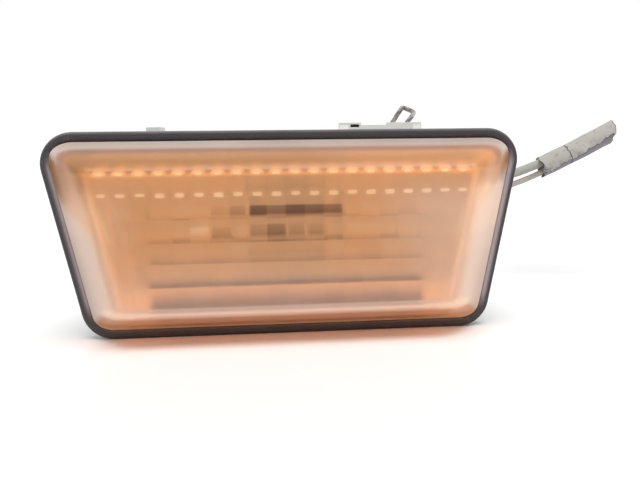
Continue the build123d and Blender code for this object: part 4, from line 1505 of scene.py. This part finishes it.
@dataclass(frozen=True)
class Pigtail:
    """The two cut wires behind the lamp, in what is left of their sleeve."""

    feed_wire: float = 1.9
    feed_length: float = 84.3
    earth_wire: float = 1.2
    earth_length: float = 86.0
    sleeve_radius: float = 2.2
    sleeve_sheet: float = 0.2
    lap: float = 75.0
    seam: float = -40.0
    seam_rise: float = 34.0
    flap_stand: float = 0.75
    flap_place: float = 0.58
    sleeve_rings: int = 120
    sleeve_around: int = 90
    feed_route: tuple[Place, ...] = (
        (0.0, 27.65, 2.2),
        (0.0, 35.6, 2.2),
        (5.0, 42.0, 2.6),
        (16.5, 45.0, 3.0),
        (30.5, 44.0, 3.1),
        (44.77, 41.0, 5.2),
        (59.94, 41.0, 10.98),
        (68.09, 41.0, 15.14),
        (70.54, 41.0, 16.7),
    )
    earth_route: tuple[Place, ...] = (
        (0.0, 27.65, -2.2),
        (0.0, 35.6, -2.2),
        (4.8, 42.2, -1.8),
        (16.0, 45.6, -1.0),
        (30.0, 44.6, 0.2),
        (45.36, 41.0, 2.9),
        (60.6, 41.0, 9.3),
        (68.4, 41.0, 13.5),
        (70.4, 41.0, 14.75),
    )
    sleeve_route: tuple[Place, ...] = (
        (51.66, 41.0, 6.6),
        (60.2, 41.0, 10.42),
        (68.4, 41.0, 14.5),
        (71.3, 41.0, 15.95),
    )

    @staticmethod
    def _spline(name: str, route: Sequence[Place]) -> bpy.types.Object:
        """A smooth NURBS line with a route's points as its control points.

        Args:
            name: The line's name.
            route: Its control points, in millimetres.

        Returns:
            The curve object.
        """
        curve = bpy.data.curves.new(name, "CURVE")
        curve.dimensions = "3D"
        curve.resolution_u = 16
        spline = curve.splines.new("NURBS")
        spline.points.add(len(route) - 1)
        places = np.concatenate([np.array(route) * MM, np.ones((len(route), 1))], axis=1)
        spline.points.foreach_set("co", places.ravel())
        spline.order_u = 3
        spline.use_endpoint_u = True
        made = bpy.data.objects.new(name, curve)
        bpy.context.scene.collection.objects.link(made)
        return made

    def _wire(
        self, name: str, route: Sequence[Place], diameter: float, finish: Insulation, slot: str, node: str
    ) -> bpy.types.Object:
        """A round wire along its route.

        Args:
            name: The wire's name.
            route: Control points of its middle line.
            diameter: Its diameter over the insulation.
            finish: Its insulation.
            slot: The CAD node's material slot.
            node: The CAD node that it stands for.

        Returns:
            The wire, as a curve object.
        """
        made = self._spline(name, route)
        made.data.bevel_depth = diameter / 2 * MM
        made.data.bevel_resolution = 5
        made.data.use_fill_caps = True
        ride(made, finish, slot, node)
        return made

    def _sleeve_line(self) -> np.ndarray:
        """Points along the sleeve's middle line, drawn by a spline that is then removed.

        Returns:
            Points as rows, in millimetres.
        """
        line = self._spline("sleeve_line", self.sleeve_route)
        drawn = bpy.data.meshes.new_from_object(line)
        path = np.empty(len(drawn.vertices) * 3)
        drawn.vertices.foreach_get("co", path)
        curve = line.data
        bpy.data.objects.remove(line)
        bpy.data.curves.remove(curve)
        bpy.data.meshes.remove(drawn)
        return path.reshape(-1, 3) / MM

    def _sleeve(self) -> bpy.types.Object:
        """The sleeve: a sheet rolled round the wires' line, with its torn outer edge over its inner edge.

        At an angle round the line, the radius falls evenly from the outer lap to the inner one. The outer
        edge and both ends wander with sums of sines, and one flap of the outer edge stands off.

        Returns:
            The sleeve.
        """
        path = self._sleeve_line()
        span = np.concatenate([[0.0], np.cumsum(np.linalg.norm(np.diff(path, axis=0), axis=1))])
        along = np.linspace(0.0, 1.0, self.sleeve_rings)[:, None]
        around = np.linspace(0.0, 1.0, self.sleeve_around)[None, :]
        jag = 4.0 * np.sin(23.0 * along) + 3.0 * np.sin(61.0 * along + 1.0) + 2.0 * np.sin(113.0 * along)
        edge = self.seam + self.seam_rise * along + jag
        stop = self.seam + 360.0 + self.lap
        angle = np.radians(edge + (stop - edge) * around)
        low = np.clip(0.15 - np.sin(angle), 0.0, 1.0)
        torn_mouth = 0.15 - 0.03 * low + 0.012 * np.sin(5.0 * angle) + 0.09 * bell(around - 0.04, 0.03)
        torn_end = 0.1 * low + 0.02 * np.cos(angle) ** 2 + 0.006 * np.sin(9.0 * angle)
        place = along + (1 - along) ** 6 * torn_mouth - along**8 * torn_end
        reach = np.clip(place, 0.0, 1.0) * span[-1]
        middle = np.stack([np.interp(reach, span, path[:, axis]) for axis in range(3)], axis=-1)
        step = np.gradient(path, axis=0)
        tilt = np.interp(reach, span, np.arctan2(step[:, 2], step[:, 0]))
        up = np.stack([-np.sin(tilt), np.zeros_like(tilt), np.cos(tilt)], axis=-1)
        front = np.array([0.0, -1.0, 0.0])
        radius = self.sleeve_radius - 0.3 * around + 0.03 * np.sin(17.0 * along + 2.0 * angle)
        radius = radius + self.flap_stand * bell(along - self.flap_place, 0.05) * bell(around, 0.05)
        outward = np.cos(angle)[..., None] * front + np.sin(angle)[..., None] * up
        points = middle + radius[..., None] * outward
        # Where painted shade darkens the inner lap below the seam.
        under = np.broadcast_to(ramp_up(around, 0.56, 0.05), radius.shape)
        # Where painted shade darkens the ends and the torn outer edge.
        rim = np.maximum(np.exp(-along / 0.012), np.exp(-((1.0 - along) / 0.02))) + 0.0 * around
        rim = np.maximum(rim, np.exp(-around / 0.012) + 0.0 * along)
        marks = {"under": under, "along": place, "rim": rim}
        quads = grid_quads(*radius.shape, False, False)
        piece = new_piece("split_sleeve", points.reshape(-1, 3), quads, marks, outward=False)
        thick = piece.modifiers.new("sheet", "SOLIDIFY")
        thick.thickness = self.sleeve_sheet * MM
        thick.offset = -1.0
        ride(piece, CrackedSleeve(), "sleeve_plastic", "wire_sleeve")
        return piece

    def build(self) -> None:
        feed_coat = Insulation("feed insulation", (0.42, 0.41, 0.36), (0.2, 0.18, 0.15))
        earth_coat = Insulation("earth insulation", (0.5, 0.43, 0.39), (0.25, 0.19, 0.16))
        feed_slots = (feed_coat, "feed_insulation", "wire_feed")
        earth_slots = (earth_coat, "earth_insulation", "wire_earth")
        feed = self._wire("feed_wire", self.feed_route, self.feed_wire, *feed_slots)
        earth = self._wire("earth_wire", self.earth_route, self.earth_wire, *earth_slots)
        sleeve = self._sleeve()


@dataclass(frozen=True)
class Fittings:
    """The CAD pieces that keep their own shape and get a finish here."""

    nodes: dict[str, bpy.types.Object]

    def dress(self) -> None:
        """Gives the housing, holder, seal, contacts, leads and filament their materials."""
        clean, dirt, dust = (0.86, 0.85, 0.82), (0.5, 0.47, 0.42), (0.58, 0.56, 0.52)
        white = MouldedPlastic("white housing", clean, dirt, dust, Grime.WORN, 0.45)
        clean, dirt, dust = (0.035, 0.03, 0.028), (0.12, 0.1, 0.085), (0.09, 0.08, 0.07)
        dark = MouldedPlastic("holder plastic", clean, dirt, dust, Grime.LIGHT, 0.42)
        seal = DustyRubber("seal rubber", (0.02, 0.02, 0.02), (0.15, 0.14, 0.13))
        brass = WornMetal("contact brass", (0.72, 0.52, 0.22), (0.28, 0.2, 0.1), Grime.WORN)
        lead = WornMetal("lead metal", (0.6, 0.58, 0.55), (0.3, 0.28, 0.26), Grime.LIGHT)
        coil = WornMetal("filament metal", (0.35, 0.34, 0.34), (0.15, 0.14, 0.14), Grime.LIGHT, 0.45)
        for finish, names in (
            (white, ["housing"]),
            (dark, ["bulb_holder"]),
            (seal, ["holder_seal"]),
            (brass, ["contact_feed", "contact_earth"]),
            (lead, ["bulb_lead_left", "bulb_lead_right"]),
            (coil, ["bulb_filament"]),
        ):
            material = finish.make()
            for name in names:
                self.nodes[name].data.materials.clear()
                self.nodes[name].data.materials.append(material)
                LOG.info("%s is dressed as %s", name, finish.name)


# Stage


@dataclass(frozen=True)
class Studio:
    """A white table under plain soft light."""

    table_level: float = -16.3
    table_half: float = 6000.0
    table_white: Colour = (0.9, 0.9, 0.9)
    table_roughness: float = 0.4
    table_lift: float = 0.03
    sky: float = 0.37
    lamp_strength: float = 2.7
    lamp_spread: float = 45.0
    lamp_tilt: float = 19.0
    lamp_turn: float = 3.0

    def build(self) -> None:
        """Makes the table, the sky and a soft high lamp in front."""
        half = self.table_half
        corners = np.array([[-half, -half], [half, -half], [half, half], [-half, half]])
        points = np.concatenate([corners, np.full((4, 1), self.table_level)], axis=1)
        table = new_piece("table", points, np.array([[0, 1, 2, 3]]), outward=False)
        table.data.materials.append(self._table_top())
        table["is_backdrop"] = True
        self._sky()
        lamp = bpy.data.lights.new("high_lamp", "SUN")
        lamp.energy = self.lamp_strength
        lamp.angle = math.radians(self.lamp_spread)
        hung = bpy.data.objects.new("high_lamp", lamp)
        hung.rotation_euler = (math.radians(self.lamp_tilt), math.radians(self.lamp_turn), 0.0)
        hung.visible_glossy = False
        bpy.context.scene.collection.objects.link(hung)

    def _table_top(self) -> bpy.types.Material:
        """White, slightly glossy table, bright enough to be plain white where nothing shades it.

        Returns:
            The table's material.
        """
        material, hand, shader, output = start_material("white table")
        hand.feed(shader.inputs["Base Color"], self.table_white)
        hand.feed(shader.inputs["Roughness"], self.table_roughness)
        path = hand.add("ShaderNodeLightPath")
        lift = hand.add("ShaderNodeEmission", {"Color": (1.0, 1.0, 1.0)})
        seen = hand.sum("MULTIPLY", path.outputs["Is Camera Ray"], self.table_lift)
        hand.feed(lift.inputs["Strength"], seen)
        both = hand.add("ShaderNodeAddShader", {0: shader.outputs[0], 1: lift.outputs[0]})
        hand.feed(output.inputs["Surface"], both.outputs[0])
        return material

    def _sky(self) -> None:
        """White all round: plain white to the camera, in gloss and through glass, and softer as a light."""
        world = bpy.data.worlds.new("white room")
        world.use_nodes = True
        world.node_tree.nodes.clear()
        hand = Nodes(world.node_tree)
        path = hand.add("ShaderNodeLightPath")
        seen = hand.sum("MAXIMUM", path.outputs["Is Camera Ray"], path.outputs["Is Glossy Ray"])
        seen = hand.sum("MAXIMUM", seen, path.outputs["Is Transmission Ray"])
        strength = hand.add("ShaderNodeMapRange", {"Value": seen, "To Min": self.sky, "To Max": 1.0})
        sky = hand.add("ShaderNodeBackground", {"Color": (1.0, 1.0, 1.0), "Strength": strength.outputs[0]})
        hand.add("ShaderNodeOutputWorld", {"Surface": sky.outputs[0]})
        bpy.context.scene.world = world


@dataclass(frozen=True)
class PhotoCamera:
    """Where the photograph was taken from, with angles in degrees."""

    azimuth: float = 6.714
    elevation: float = 7.54
    roll: float = 0.583
    stand: Place = (2.817, -130.936, 15.462)
    nearest: float = 5.0
    focal_pixels: float = 800.0
    image_width: int = 640
    centre_shift: float = -80.0
    sensor: float = 36.0

    def place(self) -> None:
        """Puts the camera on its line of sight and turns it by its roll."""
        azimuth, elevation, roll = (math.radians(turn) for turn in (self.azimuth, self.elevation, self.roll))
        level = math.cos(elevation)
        forward = Vector((math.sin(azimuth) * level, math.cos(azimuth) * level, -math.sin(elevation)))
        right = Vector((math.cos(azimuth), -math.sin(azimuth), 0.0))
        up = right.cross(forward)
        rolled_right = right * math.cos(roll) - up * math.sin(roll)
        rolled_up = right * math.sin(roll) + up * math.cos(roll)
        data = bpy.data.cameras.new("photo_camera")
        data.sensor_width = self.sensor
        data.lens = self.focal_pixels / self.image_width * self.sensor
        data.shift_x = self.centre_shift / self.image_width
        data.clip_start = self.nearest * MM
        camera = bpy.data.objects.new("photo_camera", data)
        turned = Matrix((rolled_right, rolled_up, -forward)).transposed().to_4x4()
        turned.translation = Vector(self.stand) * MM
        camera.matrix_world = turned
        bpy.context.scene.collection.objects.link(camera)
        bpy.context.scene.camera = camera


def main() -> None:
    """Builds the lamp's pieces in order over the frame, then the stage and the camera."""
    logging.basicConfig(level=logging.INFO, format="%(name)s: %(message)s")
    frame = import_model()
    cad_box = [corner.copy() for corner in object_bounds()]
    bpy.context.scene.view_settings.view_transform = "Standard"
    face = FaceOutline()
    PhotoCamera().place()
    Pigtail().build()
    LensCap(face).build()
    Gasket(face).build()
    SpringClip().build()
    SlotDirt().build()
    bulb_front, bulb_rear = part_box("bulb_envelope")
    Bulb().build(bulb_front[1] / MM, bulb_rear[1] / MM)
    Fittings(frame["nodes"]).dress()
    Studio().build()


if __name__ == "__main__":
    main()
